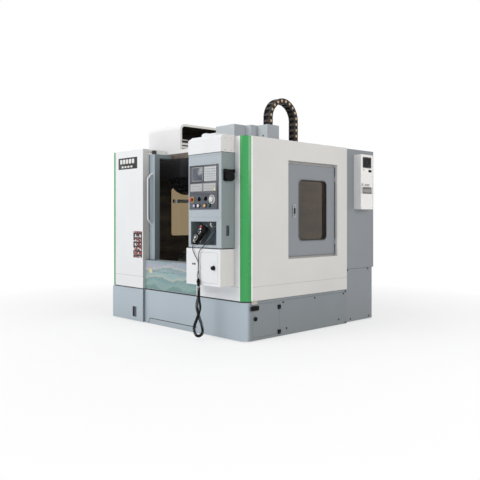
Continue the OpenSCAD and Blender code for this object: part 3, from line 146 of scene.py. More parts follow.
class Paint:
    """A material, its Principled node and the place on the surface.

    slot is a name kept with the paint; its pieces do not carry it."""

    def __init__(self, name, slot=None):
        self.slot = slot
        self.material = bpy.data.materials.new(name)
        self.material.use_nodes = True
        PAINTS[name] = self.material
        self.tree = self.material.node_tree
        self.shader = self.tree.nodes["Principled BSDF"]
        self.place = self.node("TexCoord", out="Object")
        self.x, self.y, self.z = self.parts(self.place)

    def node(self, kind, settings=None, *values, out=0, **named):
        made = self.tree.nodes.new("ShaderNode" + kind)
        for key, value in (settings or {}).items():
            setattr(made, key, value)
        live = [s for s in made.inputs if s.enabled]
        for socket, value in zip(live, values):
            self.feed(socket, value)
        for key, value in named.items():
            self.feed(next(s for s in live if s.name == key.replace("_", " ")), value)
        outs = [s for s in made.outputs if s.enabled]
        return Wire(self, outs[out] if isinstance(out, int) else next(s for s in outs if s.name == out))

    def feed(self, socket, value):
        if isinstance(value, Wire):
            self.tree.links.new(value.socket, socket)
        elif socket.type == "RGBA" and len(value) == 3:
            socket.default_value = (*value, 1)
        else:
            socket.default_value = value

    def parts(self, vector):
        split = self.node("SeparateXYZ", None, vector)
        names = split.socket.node.outputs
        return [Wire(self, names[i]) for i in range(3)]

    def mix(self, factor, a, b):
        return self.node("Mix", {"data_type": "RGBA"}, Factor=factor, A=a, B=b, out="Result")

    def ramp(self, value, low, high, start=0.0, end=1.0):
        """Goes from start to end while the value goes from low to high."""
        return self.node("MapRange", None, value, low, high, start, end)

    def sine(self, value):
        return self.node("Math", {"operation": "SINE"}, value)

    def facing(self):
        """The direction of the face, as three wires."""
        return self.parts(self.node("TexCoord", out="Normal"))

    def noise(self, scale, detail=2.0, rough=0.5, stretch=None):
        at = self.place
        if stretch:
            at = self.node("VectorMath", {"operation": "MULTIPLY"}, at, stretch)
        return self.node("TexNoise", None, Vector=at, Scale=scale, Detail=detail, Roughness=rough)

    def within(self, value, low, high, soft=0.0):
        if soft:
            return self.ramp(value, low - soft, low + soft) * self.ramp(value, high - soft, high + soft, 1.0, 0.0)
        return (value > low) * (value < high)

    def set(self, **named):
        for key, value in named.items():
            self.feed(self.shader.inputs[key.replace("_", " ")], value)
        return self


def srgb(r, g, b):
    """A colour as it is read off a picture, 0 to 255, in the linear numbers that Blender works in."""
    return tuple(c / 3294.6 if c <= 10.31 else ((c / 255 + 0.055) / 1.055) ** 2.4 for c in (r, g, b))


print("shader helpers ready")

# %% [markdown]
# ## Drawing on a side of the machine
# Most small parts lie on one flat side: the front, the right side, the back. `side` gives the placement of a
# drawing in millimetres with u to the right, v up and w out of the surface, as one sees that side from
# outside. A screw is then drawn once and used anywhere.

# %% Sides of the machine
SIDES = {
    "front": ((1, 0, 0), (0, 0, 1), (0, -1, 0)),
    "right": ((0, 1, 0), (0, 0, 1), (1, 0, 0)),
    "left": ((0, -1, 0), (0, 0, 1), (-1, 0, 0)),
    "back": ((-1, 0, 0), (0, 0, 1), (0, 1, 0)),
    "top": ((1, 0, 0), (0, 1, 0), (0, 0, 1)),
    "world": ((1, 0, 0), (0, 1, 0), (0, 0, 1)),
}


def side(name, level=0.0):
    """Placement of a millimetre drawing on the plane x, y or z = level."""
    axes = SIDES[name]
    turn = Matrix(axes).transposed().to_4x4()
    return Matrix.Translation([abs(c) * level / 1000 for c in axes[2]]) @ turn @ Matrix.Scale(0.001, 4)


def at_uv(place, u, v, w=0.0):
    """The same drawing, moved along its own directions."""
    return place @ Matrix.Translation((u, v, w))


print("front of the bay at", tuple(round(c, 3) for c in side("front", -980).translation))


# %% A slab with eased edges
def slab(bm, place, u, v, w, edge=1.0, steps=2):
    made = bmesh.ops.create_cube(bm, size=1.0)["verts"]
    size = Vector((u[1] - u[0], v[1] - v[0], w[1] - w[0]))
    middle = Vector((u[0] + u[1], v[0] + v[1], w[0] + w[1])) / 2
    for vert in made:
        vert.co = Vector([c * s for c, s in zip(vert.co, size)]) + middle
    if edge:
        edges = list({e for vert in made for e in vert.link_edges})
        cut = bmesh.ops.bevel(bm, geom=edges, offset=min(edge, min(size) * 0.45), segments=steps,
                              profile=0.6, affect="EDGES")
        made = list({vert for face in cut["faces"] for vert in face.verts} | {v for v in made if v.is_valid})
    bmesh.ops.transform(bm, matrix=place, verts=made)


# %% A turned part, drawn as half its outline
def turned(bm, place, outline, steps=32):
    """outline lists (radius, height) from the back to the front, round the w direction."""
    rings = []
    for radius, height in outline:
        count = steps if radius > 0 else 1
        rings.append([bm.verts.new(place @ Vector((radius * math.cos(a), radius * math.sin(a), height)))
                      for a in (2 * math.pi * i / steps for i in range(count))])
    for low, high in zip(rings, rings[1:]):
        for i in range(steps):
            j = (i + 1) % steps
            corners = [low[i % len(low)], low[j % len(low)], high[j % len(high)], high[i % len(high)]]
            corners = list(dict.fromkeys(corners))
            if len(corners) > 2:
                bm.faces.new(corners)
    for ring in (rings[0], rings[-1]):
        if len(ring) > 1:
            bm.faces.new(ring)


# %% A plate and a frame with round corners
def skin(bm, rings):
    """Faces between each ring of vertices and the next."""
    for low, high in zip(rings, rings[1:]):
        for i in range(len(low)):
            j = (i + 1) % len(low)
            bm.faces.new((low[i], low[j], high[j], high[i]))


def corner_loop(u, v, radius, steps=6):
    """Points of a rectangle with round corners, anticlockwise."""
    corners = ((u[1] - radius, v[1] - radius, 0), (u[0] + radius, v[1] - radius, 90),
               (u[0] + radius, v[0] + radius, 180), (u[1] - radius, v[0] + radius, 270))
    return [(cu + radius * math.cos(a), cv + radius * math.sin(a)) for cu, cv, start in corners
            for a in (math.radians(start + 90 * i / steps) for i in range(steps + 1))]


def stack(bm, place, loops, capped=True, closed=False):
    """Skins loops of points, each (points, height), one after the other."""
    rings = [[bm.verts.new(place @ Vector((a, b, height))) for a, b in points] for points, height in loops]
    skin(bm, rings + rings[:1] if closed else rings)
    if capped:
        bm.faces.new(rings[0])
        bm.faces.new(rings[-1])


def plate(bm, place, u, v, radius, w, edge=1.0):
    """A flat plate with round corners and an eased front edge."""
    def loop(inset, height):
        return corner_loop((u[0] + inset, u[1] - inset), (v[0] + inset, v[1] - inset),
                           max(radius - inset, 0.1)), height
    stack(bm, place, [loop(0, w[0]), loop(0, w[1] - edge), loop(0.3 * edge, w[1] - 0.3 * edge), loop(edge, w[1])])


def ring(bm, place, u, v, radius, width, w, edge=1.0):
    """A frame round an opening: u and v are the opening, width is how wide the frame is."""
    def loop(grow, height):
        return corner_loop((u[0] - grow, u[1] + grow), (v[0] - grow, v[1] + grow), radius + grow), height
    stack(bm, place, [loop(0, w[0]), loop(width, w[0]), loop(width, w[1] - edge), loop(width - edge, w[1]),
                      loop(edge, w[1]), loop(0, w[1] - edge)], capped=False, closed=True)


print("slab, turned, plate and ring ready")


# %% A round bar along a line of points
def smooth_path(points, steps=6):
    """Points on a curve that passes through the given ones."""
    points = [Vector(p) for p in points]
    padded = [points[0] * 2 - points[1]] + points + [points[-1] * 2 - points[-2]]
    path = []
    for a, b, c, d in zip(padded, padded[1:], padded[2:], padded[3:]):
        for i in range(steps):
            t = i / steps
            path.append(0.5 * ((2 * b) + (c - a) * t + (2 * a - 5 * b + 4 * c - d) * t * t
                               + (3 * b - a - 3 * c + d) * t ** 3))
    return path + [points[-1]]


def bar(bm, place, points, radius, sides=12, steps=5):
    """A round bar through the points, with closed ends. radius is one number, or one for each end."""
    points = smooth_path(points, steps) if steps else [Vector(p) for p in points]
    loops, across = [], None
    for i, p in enumerate(points):
        ahead = (points[min(i + 1, len(points) - 1)] - points[max(i - 1, 0)]).normalized()
        if across is None:
            across = ahead.cross(Vector((0, 0, 1)) if abs(ahead.z) < 0.9 else Vector((1, 0, 0))).normalized()
        across = (across - ahead * across.dot(ahead)).normalized()
        other = ahead.cross(across)
        r = radius
        if isinstance(radius, tuple):
            r = radius[0] + (radius[1] - radius[0]) * i / (len(points) - 1)
        loops.append([bm.verts.new(place @ (p + r * (across * math.cos(a) + other * math.sin(a))))
                      for a in (2 * math.pi * k / sides for k in range(sides))])
    skin(bm, loops)
    bm.faces.new(loops[0])
    bm.faces.new(loops[-1])


# %% Screw heads
def screw(bm, place, u, v, radius):
    """A domed screw head with a sunk socket."""
    r = radius
    turned(bm, at_uv(place, u, v), [(r, -0.3), (r, 0.3 * r), (0.85 * r, 0.52 * r), (0.55 * r, 0.6 * r),
                                    (0.5 * r, 0.2 * r), (0, 0.2 * r)], 14)


def screws(us, vs, radius):
    """Screws at every crossing of the columns and rows."""
    return [("screw", u, v, radius) for u in us for v in vs]


print("bar and screw ready")

# %% [markdown]
# ## From drawing to piece
# A piece is one object with one finish. `dress` draws a list of shapes on a side and hands them over: it
# names the object, smooths all but its sharp edges and lets it ride on the body that carries it.

# %% Finished mesh to piece
SHARP = 35
SHAPES = {"slab": slab, "plate": plate, "ring": ring, "bar": bar,
          "screw": screw, "turned": lambda bm, place, u, v, outline, steps=32, w=0.0:
          turned(bm, at_uv(place, u, v, w), outline, steps)}


def finish_piece(name, bm, paint, body="machine", swaps=(), slot=None):
    """slot is worked out as the paint's own, unless one is given, and is then not used."""
    bmesh.ops.recalc_face_normals(bm, faces=bm.faces)
    mesh = bpy.data.meshes.new(name)
    bm.to_mesh(mesh)
    bm.free()
    thing = bpy.data.objects.new(name, mesh)
    bpy.context.collection.objects.link(thing)
    mesh.materials.append(paint.material)
    mesh.shade_smooth()
    mesh.set_sharp_from_angle(angle=math.radians(SHARP))
    if isinstance(body, str):
        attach(thing, body)
    else:
        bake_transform(thing)
    if swaps:
        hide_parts(*swaps)
    slot = paint.slot if slot is None else slot
    return thing


def dress(name, paint, where, level, shapes, body="machine", swaps=(), slot=None):
    """Draws shapes, each ("kind", its values), on one side, or on a placement, and makes them one piece."""
    bm = bmesh.new()
    place = where if isinstance(where, Matrix) else side(where, level)
    for kind, *values in shapes:
        SHAPES[kind](bm, place, *values)
    return finish_piece(name, bm, paint, body, swaps, slot)


print("shapes:", sorted(SHAPES))

# %% [markdown]
# ## The hand unit's cord
# The real cord is one curly telephone-style cable: a straight lead comes out of the shelf's back, goes over a
# hook and down to a cable tie, the curly middle hangs in a long loop and crosses itself, and a second
# straight lead goes up to the hand unit. A curve with a round bevel gives the true length in one piece,
# so the curls are points on a helix round the hanging line instead of a ribbed tube.

# %% The line that the cord follows
LEAD_FROM_UNIT = [
    (611, -1141, 934), (610, -1143, 926), (609, -1145, 916), (609, -1147, 902), (613, -1149, 885),
    (624, -1150, 862), (640, -1151, 840), (660, -1152, 815), (682, -1152, 792), (695, -1152, 772),
    (703, -1152, 745), (706, -1157, 702), (706, -1152, 668), (712, -1152, 640), (713, -1152, 622),
    (709, -1153, 596), (709, -1155, 574), (715, -1158, 548),
]
LEAD_FROM_SHELF = [
    (905, -977, 1135), (905, -993, 1135), (902, -1014, 1134), (884, -1030, 1133), (860, -1042, 1133),
    (838, -1050, 1127), (827, -1056, 1113), (831, -1062, 1100), (848, -1070, 1096), (874, -1082, 1096),
    (900, -1094, 1088), (911, -1106, 1071), (905, -1118, 1048), (880, -1130, 1014), (846, -1138, 978),
    (810, -1144, 948), (786, -1147, 928), (764, -1149, 911), (742, -1151, 895), (724, -1152, 877),
    (711, -1152, 850), (706, -1152, 812), (704, -1151, 780), (704, -1150, 742), (699, -1149, 702),
    (697, -1152, 668), (690, -1152, 640), (689, -1152, 622), (698, -1152, 596), (700, -1152, 574), (706, -1152, 548),
]
CURLY_LINE = [
    (715, -1158, 548), (725, -1166, 520), (736, -1174, 480), (738, -1176, 440), (734, -1170, 400),
    (743, -1164, 335), (740, -1168, 290), (732, -1176, 250), (707, -1180, 193), (682, -1180, 146),
    (670, -1180, 99), (678, -1176, 66), (694, -1172, 45), (716, -1168, 38), (743, -1164, 45),
    (766, -1158, 66), (770, -1154, 99), (756, -1152, 146), (729, -1150, 193), (698, -1148, 250),
    (686, -1152, 290), (681, -1156, 335), (695, -1152, 400), (702, -1148, 440), (707, -1149, 480),
    (711, -1150, 520), (706, -1152, 548),
]


def metres(points):
    return [Vector(p) / 1000 for p in points]


print("points on the line:", len(LEAD_FROM_UNIT) + len(LEAD_FROM_SHELF) + len(CURLY_LINE))

# %% Curls round the hanging line
CORD = 0.0075
CURL_RADIUS = 0.0113
CURL_PITCH = 0.0102
EASE = 0.042
OPEN_PITCH = 0.06
PER_TURN = 14


def curled(line):
    """Points of a helix round a line. At both ends the turns open up and shrink, so that nothing kinks."""
    line = smooth_path(line, 8)
    lengths = [0.0]
    for a, b in zip(line, line[1:]):
        lengths.append(lengths[-1] + (b - a).length)
    total = lengths[-1]
    points, across, k, s, turn = [], Vector((1, 0, 0)), 0, 0.0, 0.0
    while s < total:
        while k < len(line) - 2 and lengths[k + 1] < s:
            k += 1
        middle = line[k].lerp(line[k + 1], (s - lengths[k]) / (lengths[k + 1] - lengths[k]))
        ahead = (line[k + 1] - line[k]).normalized()
        across = (across - ahead * across.dot(ahead)).normalized()
        other = ahead.cross(across)
        near = min(1.0, s / EASE, (total - s) / EASE)
        radius = CURL_RADIUS * near * near * (3 - 2 * near)
        points.append(middle + radius * (across * math.cos(turn) + other * math.sin(turn)))
        pitch = CURL_PITCH * near + OPEN_PITCH * (1 - near)
        turn += 2 * math.pi / PER_TURN
        s += pitch / PER_TURN
    return points + [line[-1]]


curls = curled(metres(CURLY_LINE)[::-1])
print("turns:", round(len(curls) / PER_TURN))

# %% The cord as one curve
def length_of(points):
    return sum((b - a).length for a, b in zip(points, points[1:]))


cord_line = smooth_path(metres(LEAD_FROM_SHELF), 4)[:-1] + curls[1:-1]
cord_line += smooth_path(metres(LEAD_FROM_UNIT)[::-1], 4)[1:]
cord_data = bpy.data.curves.new("hand_unit_cord", "CURVE")
cord_data.dimensions = "3D"
cord_data.bevel_depth = CORD / 2
cord_data.bevel_resolution = 3
cord_data.use_fill_caps = True
spline = cord_data.splines.new("POLY")
spline.points.add(len(cord_line) - 1)
for point, place in zip(spline.points, cord_line):
    point.co = (*place, 1)
spline.use_smooth = True
drawn = bpy.data.objects.new("cord_line", cord_data)
bpy.context.collection.objects.link(drawn)
cord_mesh = bpy.data.meshes.new_from_object(drawn.evaluated_get(bpy.context.evaluated_depsgraph_get()))
bpy.data.objects.remove(drawn)
cord = bpy.data.objects.new("hand_unit_cord", cord_mesh)
bpy.context.collection.objects.link(cord)
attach(cord, "machine")
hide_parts("hand_unit_lead", "hand_unit_coil")
round(length_of(cord_line), 3)
print("cord", round(length_of(cord_line), 2), "m")

# %% [markdown]
# ## The paint of a machine tool
# Sheet-metal panels of such a machine are powder coated: a thin, even coat with a faint orange-peel surface
# that shows only in reflections. Two things make it look real. The surface tone drifts a little over a
# metre, and the lowest 30 cm gathers floor dust. Faces that look along x get a darker colour than the front
# faces. That is painted shade, so one function takes a front colour and a shaded side colour and chooses by
# the direction of the face.

# %% Orange peel and the way a face looks
def peel(p, amount=0.12):
    """Orange peel: low, close bumps in the coat."""
    return p.node("Bump", None, Strength=amount, Distance=0.0005, Height=p.noise(420.0, 1.5, 0.4))


def looking(axis, sign):
    """A test for the faces that look along x (0) or y (1), with or against the axis."""
    def test(p):
        way = p.facing()[axis]
        return way > 0.3 if sign > 0 else way < -0.3
    return test


def shade(colour, factor):
    return tuple(c * factor for c in colour)


print("face direction and orange peel ready")

# %% A coat of powder paint
INNER_DARK, INNER_BROWN = srgb(88, 82, 76), srgb(134, 118, 98)
CREASE_LOW, CREASE_HIGH = 0.5245, 0.5295
DRIFT = 0.89


def powder(name, front, side=None, rough=0.34, dust=0.35, inner=None, crease=False, slot=None):
    """Painted sheet metal, one colour for its front faces and a darker copy of it for its sides, which is painted
    shade.

    inner is a function that marks the faces which look into the work space, where the coat is dark."""
    p = Paint(name, slot)
    # Faces along x take the side colour, a darker copy of the front colour: painted shade.
    coat = p.mix(p.ramp(abs(p.facing()[0]), 0.8, 0.97), front, side or front)
    if crease:
        coat = p.mix(p.within(p.z, CREASE_LOW, CREASE_HIGH) * 0.4, coat, srgb(120, 122, 124))
    coat = p.node("Mix", {"data_type": "RGBA", "blend_type": "MULTIPLY"}, Factor=p.noise(1.7, 3.0, 0.55), A=coat,
                  B=(DRIFT, DRIFT, DRIFT), out="Result")
    low = p.ramp(p.z + 0.10 * p.noise(9.0, 3.0), 0.02, 0.34, 1.0, 0.0)
    grime = low * p.ramp(p.noise(60.0, 5.0, 0.7), 0.45, 0.75, 0.25, 1.0) * dust
    coat = p.mix(grime, coat, srgb(128, 122, 112))
    if inner:
        splashes = p.ramp(p.noise(2.6, 4.0, 0.6, stretch=(1.0, 1.0, 4.0)), 0.4, 0.7, 0.0, 0.7)
        coat = p.mix(inner(p), coat, p.mix(splashes, INNER_DARK, INNER_BROWN))
    fingers = p.ramp(p.noise(6.5, 4.0, 0.6), 0.42, 0.72, 0.0, 0.09)
    p.set(Base_Color=coat, Roughness=fingers + rough + 0.25 * grime, Normal=peel(p))
    return p


def hood_inside(p):
    """Faces of the hood that look towards its own middle line, or at its far end."""
    nx, ny, nz = p.facing()
    towards_middle = (ny * p.y + nz * (p.z - 2.16)) < -0.02
    return p.node("Math", {"operation": "MAXIMUM"}, towards_middle, (nx > 0.5) * (p.x < -1.0))


# In each pair below, the second colour, for faces that look along x, is a darker copy of the first: painted shade.
FRONT_WHITE, SHADED_SIDE_WHITE, WALL_WHITE = (238, 240, 243), (213, 210, 206), (226, 226, 226)
LEAF_FRONT, LEAF_SHADED_SIDE = (142, 146, 150), (134, 138, 142)
white = powder("white_powder", srgb(*FRONT_WHITE), srgb(*SHADED_SIDE_WHITE), slot="white_paint")
steel_grey = powder("cabinet_powder", srgb(*LEAF_FRONT), srgb(*LEAF_SHADED_SIDE), dust=0.3, slot="grey_paint")
box_grey = powder("control_box_powder", srgb(179, 189, 197), srgb(127, 137, 137), rough=0.3, slot="box_paint")
green = powder("green_powder", srgb(54, 164, 87), srgb(48, 146, 76), rough=0.2, dust=0.2, slot="green_paint")
cover = powder("cover_powder", srgb(205, 213, 218), srgb(176, 181, 186), dust=0.0, slot="grey_paint")
for name, front, shaded_side_tone, more in (
        ("right_wall", WALL_WHITE, SHADED_SIDE_WHITE, {"inner": looking(0, -1), "crease": True}),
        ("left_wall", WALL_WHITE, SHADED_SIDE_WHITE, {"inner": looking(0, 1), "crease": True}),
        ("back_wall", (214, 212, 208), SHADED_SIDE_WHITE, {"inner": looking(1, -1)}),
        ("bay", FRONT_WHITE, (206, 205, 200), {"inner": looking(1, 1), "crease": True}),
        ("strip", (236, 236, 234), (222, 221, 216), {"inner": lambda p: p.z < 1.9435}),
        # The hood's whites are raised close to full white to make up for the weaker light at the top: painted light.
        ("hood", (250, 250, 252), (240, 238, 230), {"dust": 0.0, "inner": hood_inside}),
        ("skirt", (180, 193, 203), (127, 134, 137), {"dust": 0.3}),
        ("tank", (176, 188, 197), (124, 132, 135), {"dust": 0.3}),
        ("right_leaf", LEAF_FRONT, LEAF_SHADED_SIDE, {"dust": 0.0, "inner": looking(0, -1)}),
        ("left_leaf", LEAF_FRONT, LEAF_SHADED_SIDE, {"dust": 0.0, "inner": looking(0, 1)}),
        ("unit", (238, 238, 238), (240, 238, 234), {"dust": 0.0}),
        ("door", (164, 177, 187), (126, 137, 140), {"rough": 0.3, "inner": looking(1, 1)}),
        ("dark", (62, 62, 66), (52, 52, 55), {"rough": 0.45})):
    powder(name + "_powder", srgb(*front), srgb(*shaded_side_tone), **more)
print("powder coats:", [name for name in PAINTS if name.endswith("_powder")])

# %% [markdown]
# ## Castings
# The bed, column, saddle and head are iron castings. They are filled and painted thick, so their surface is
# softly wavy, and oil darkens it in patches.

# %% Casting paint
def casting(name, colour):
    p = Paint(name)
    waves = p.noise(14.0, 3.0, 0.5)
    oil = p.ramp(p.noise(3.0, 5.0, 0.6), 0.5, 0.8, 0.0, 0.5)
    grain = p.noise(300.0, 2.0) * 0.15 + waves
    p.set(Base_Color=p.mix(oil, colour, shade(colour, 0.62)), Roughness=0.5 - 0.2 * oil,
          Normal=p.node("Bump", None, Strength=0.35, Distance=0.002, Height=grain))


casting("casting_paint", srgb(158, 163, 166))
print("casting paint ready")

# %% [markdown]
# ## Bare steel
# Ground steel shows fine parallel scratches from the wheel. A noise that is stretched forty times along
# one direction gives them, and it goes to the roughness as well as to the bump, so that highlights streak.

# %% Ground steel
def ground(name, colour, stretch, rough=0.24, metal=1.0, slot=None):
    p = Paint(name, slot)
    lines = p.noise(60.0, 3.0, 0.6, stretch=stretch)
    worn = p.noise(5.0, 4.0, 0.6)
    tone = p.mix(lines * 0.5 + worn * 0.3, colour, shade(colour, 0.72))
    p.set(Base_Color=tone, Metallic=metal, Roughness=lines * 0.16 + worn * 0.12 + rough - 0.1,
          Normal=p.node("Bump", None, Strength=0.15, Distance=0.0003, Height=lines))
    return p


steel = ground("ground_steel", srgb(186, 188, 190), (1.0, 40.0, 40.0), slot="ground_steel")
screw_steel = ground("screw_steel", srgb(176, 178, 180), (30.0, 30.0, 1.0), 0.3, slot="ground_steel")
blackened = ground("blackened_steel", srgb(48, 48, 50), (20.0, 20.0, 20.0), 0.4, 0.85, "black_steel")
print("steels ready")

# %% [markdown]
# ## Plastic and rubber
# Moulded switches are smooth with a soft gloss. Housings have a fine spark-eroded grain. Rubber is duller
# and rougher than either.

# %% Plastics
def moulded(name, colour, rough=0.35, grain=0.0, scale=900.0, coat=0.0, specular=None, slot=None):
    p = Paint(name, slot)
    cloud = p.noise(30.0, 3.0, 0.6)
    p.set(Base_Color=p.mix(cloud * 0.45, colour, shade(colour, 0.8)), Roughness=cloud * 0.12 + rough - 0.05)
    if grain:
        p.set(Normal=p.node("Bump", None, Strength=grain, Distance=0.0004, Height=p.noise(scale, 2.0)))
    if coat:
        p.set(Coat_Weight=coat * (1.0 - 0.4 * cloud))
    if specular:
        p.set(Specular_IOR_Level=specular)
    return p


black = moulded("black_plastic", srgb(34, 34, 37), 0.42, 0.35, slot="black_plastic")
gloss_black = moulded("gloss_black_plastic", srgb(24, 24, 27), 0.2, slot="black_plastic")
matt_black = moulded("matt_black_plastic", srgb(12, 12, 13), 0.7, specular=0.15, slot="black_plastic")
cord_black = moulded("cord_black", srgb(14, 14, 15), 0.55, 0.2, 500.0, specular=0.25)
rubber = moulded("black_rubber", srgb(28, 28, 29), 0.6, 0.25, 500.0, slot="black_rubber")
panel_grey = moulded("panel_plastic", srgb(75, 80, 90), 0.38, 0.2, slot="panel_plastic")
white_plastic = moulded("white_plastic", srgb(226, 226, 224), 0.28, slot="white_plastic")
ivory = moulded("ivory_plastic", srgb(214, 208, 192), 0.34, slot="white_plastic")
red = moulded("red_plastic", srgb(176, 36, 34), 0.22, coat=0.5, slot="red_plastic")
yellow = moulded("yellow_plastic", srgb(226, 190, 50), 0.3, slot="amber_plastic")
lilac = moulded("lilac_plastic", srgb(190, 182, 208), 0.25)
amber = moulded("amber_plastic", srgb(222, 176, 122), 0.25, slot="amber_plastic")
teal = moulded("teal_plastic", srgb(30, 84, 84), 0.25)
print("plastics ready")

# %% [markdown]
# ## Window glass
# The windows are laminated safety panes with a bronze tint. Behind them lies the dark work space, so most of
# what one sees is the reflection of the room on a brown ground.

# %% Tinted pane
def pane(name, tint):
    p = Paint(name)
    smears = p.ramp(p.noise(4.0, 5.0, 0.65), 0.5, 0.8, 0.0, 0.08)
    p.set(Base_Color=p.mix(p.noise(1.5, 2.0) * 0.3, tint, shade(tint, 0.85)), Roughness=smears + 0.04,
          Transmission_Weight=1.0, IOR=1.48)


pane("bronze_pane", srgb(176, 156, 132))
pane("deep_bronze_pane", srgb(146, 130, 102))
print("glass ready")

# %% [markdown]
# ## The operator panel
# The panel is one dark plate with a screen, a letter keypad, a wide membrane of machine keys and a row of
# switches. The keys are what makes it read as a real control at any distance, so every key is a small
# rounded cap on its own grey membrane, and each switch has a bezel behind its moving cap.

# %% Plate, screen and membranes
BOX_FRONT = -1127
PLATE_FRONT = -1133


def on_panel(name, paint, *shapes, **more):
    return dress(name, paint, "front", PLATE_FRONT, shapes, **more)


dress("panel_plate", panel_grey, "front", BOX_FRONT, [("plate", (540, 975), (1280, 1716), 3, (0, 6))],
      swaps=["control_panel"])
on_panel("panel_dark_edge", gloss_black, ("plate", (957, 973), (1282, 1714), 1, (-0.5, 1.2), 0.5),
         *[("plate", (545, 956), z, 1, (-0.5, 1.0), 0.5) for z in ((1703, 1714), (1542, 1549))])
on_panel("screen_surround", moulded("screen_surround", srgb(62, 66, 76), 0.35, slot="panel_plastic"),
         ("plate", (556, 762), (1551, 1702), 4, (-0.5, 2.0)), ("plate", (552, 946), (1424, 1452), 2, (-0.5, 1.0)))
on_panel("screen_frame", moulded("screen_frame", srgb(176, 176, 172), 0.35, slot="white_plastic"),
         ("ring", (589, 743), (1565, 1693), 12, 5, (1.5, 4.0)))
print("plate and screen frame made")

# %% The dark screen
def screen_paint():
    """Faint rows of cells on dark glass, without any letters."""
    p = Paint("screen_glass")
    rows = p.ramp(abs(p.sine(p.z * 700.0)), 0.75, 1.0)
    cells = p.noise(70.0, 1.0, 0.5, stretch=(1.0, 1.0, 0.2))
    text = rows * (cells > 0.5) * 0.35
    p.set(Base_Color=p.mix(text, srgb(58, 64, 80), srgb(104, 112, 132)),
          Roughness=0.16 + 0.1 * p.noise(9.0, 3.0), Coat_Weight=0.6 - 0.3 * p.noise(5.0, 3.0))
    return p


on_panel("screen", screen_paint(), ("plate", (590, 742), (1566, 1692), 11, (1.0, 2.8), 1.5))
print("screen made")

# %% Keys on their membranes
def key_paint(name, cap, mark, step, from_x, from_z):
    """A light cap with a small dark dash in the middle, where the real keys carry their legends."""
    p = Paint(name, "white_plastic")
    across = abs(((p.x - from_x) % step) - step / 2)
    up = abs(((p.z - from_z) % step) - step / 2)
    dash = (across < 0.0042 + 0.002 * p.noise(80.0, 0.0)) * (up < 0.0016)
    p.set(Base_Color=p.mix(dash * 0.7, p.mix(p.noise(25.0, 2.0), cap, tuple(c * 0.86 for c in cap)), mark),
          Roughness=0.42 + 0.08 * p.noise(200.0, 1.0))
    return p


def key_field(x0, z0, pitch_x, pitch_z, gap_z, columns, rows):
    """Caps in rows and columns, 1.6 mm inside their cells at the sides."""
    return [("plate", (x0 + pitch_x * i + 1.6, x0 + pitch_x * (i + 1) - 1.6),
             (z0 + pitch_z * j + gap_z, z0 + pitch_z * (j + 1) - gap_z), 2, (1.0, 3.0), 0.7)
            for i in columns for j in rows]


letter_key = key_paint("letter_keys", srgb(206, 210, 214), srgb(84, 88, 100), 0.0252, 0.7715, 1.5565)
machine_key = key_paint("machine_keys", srgb(200, 201, 200), srgb(80, 80, 84), 0.02525, 0.5595, 1.4605)
on_panel("keypads", moulded("membrane", srgb(128, 132, 138), 0.5, slot="white_plastic"),
         ("plate", (768, 952), (1553, 1701), 3, (-0.5, 1.2), 0.6),
         ("plate", (553, 946), (1457, 1537), 3, (-0.5, 1.2), 0.6))
on_panel("letter_keys", letter_key, *key_field(771.5, 1556.5, 25.2, 23.6, 1.4, range(7), range(6)))
on_panel("machine_keys", machine_key,
         *key_field(559.5, 1460.5, 25.25, 24.4, 1.6, [i for i in range(15) if i != 7], range(3)))
on_panel("pad_lamp", moulded("pale_yellow", srgb(238, 228, 170), 0.3, slot="amber_plastic"),
         ("plate", (915, 936), (1462, 1483), 4, (1.2, 3.8), 1.0))
on_panel("status_lamps", yellow, *[("turned", 926 + 4 * k, 1475 + 24.4 * k,
                                    [(3.2, 0), (3.2, 2.2), (2.2, 3.4), (0, 3.8)], 14)
                                   for k in range(2)])
print("keys made:", 7 * 6 + 14 * 3)

# %% [markdown]
# ## Switches
# Each switch is turned on a lathe in its CAD place, so an outline of half of it is all that is needed. The
# red stop has a mushroom head over a yellow ring, the selectors a round skirt and a pointer bar.

# %% Bezels and rings
CONTROLS = {"stop": (582, 1380), "mode": (696, 1384), "rapid": (792, 1387), "feed": (884, 1378),
            "lilac": (624, 1317), "white": (687, 1318), "amber": (786, 1317), "green": (849, 1319)}
BUTTONS = ("lilac", "white", "amber", "green")
SELECTORS = ("mode", "rapid")


def on_control(key, outline, steps):
    return ("turned", *CONTROLS[key], outline, steps)


def block(place, du, dv, w, edge=0):
    """A slab round a middle point, du and dv to each side."""
    u, v = place
    return "slab", (u - du, u + du), (v - dv, v + dv), w, edge


def on_clock(middle, radius, degrees):
    """The point at a radius, with the angle counted clockwise from the top."""
    a = math.radians(degrees)
    return middle[0] + radius * math.sin(a), middle[1] + radius * math.cos(a)


on_panel("stop_ring", yellow, on_control("stop", [(28.5, -0.4), (28.5, 1.4), (27.5, 2.0), (23, 2.0), (23, -0.4)], 48))
on_panel("switch_bezels", matt_black,
         *[on_control(k, [(20.5, -0.4), (20.5, 5.0), (19.6, 6.0), (15.4, 6.0), (15.4, 1.0), (8, 1.0)], 36)
           for k in BUTTONS],
         *[on_control(k, [(23, -0.4), (23, 1.2), (22, 2.0), (8, 2.0)], 40) for k in SELECTORS],
         on_control("feed", [(37.4, -0.4), (37.4, 2.0), (36.8, 3.0), (34.6, 3.0), (34.6, -0.4)], 48))
on_panel("switch_ticks", white_plastic, *[block(on_clock(CONTROLS[k], 27, t), 0.8, 2, (0, 0.8))
                                          for k in SELECTORS for t in range(-120, 121, 30)])
on_panel("feed_scale", white_plastic,
         on_control("feed", [(44, -0.4), (44, 2.4), (43, 3.4), (37.6, 3.4), (37.6, -0.4)], 48))
print("bezels made")

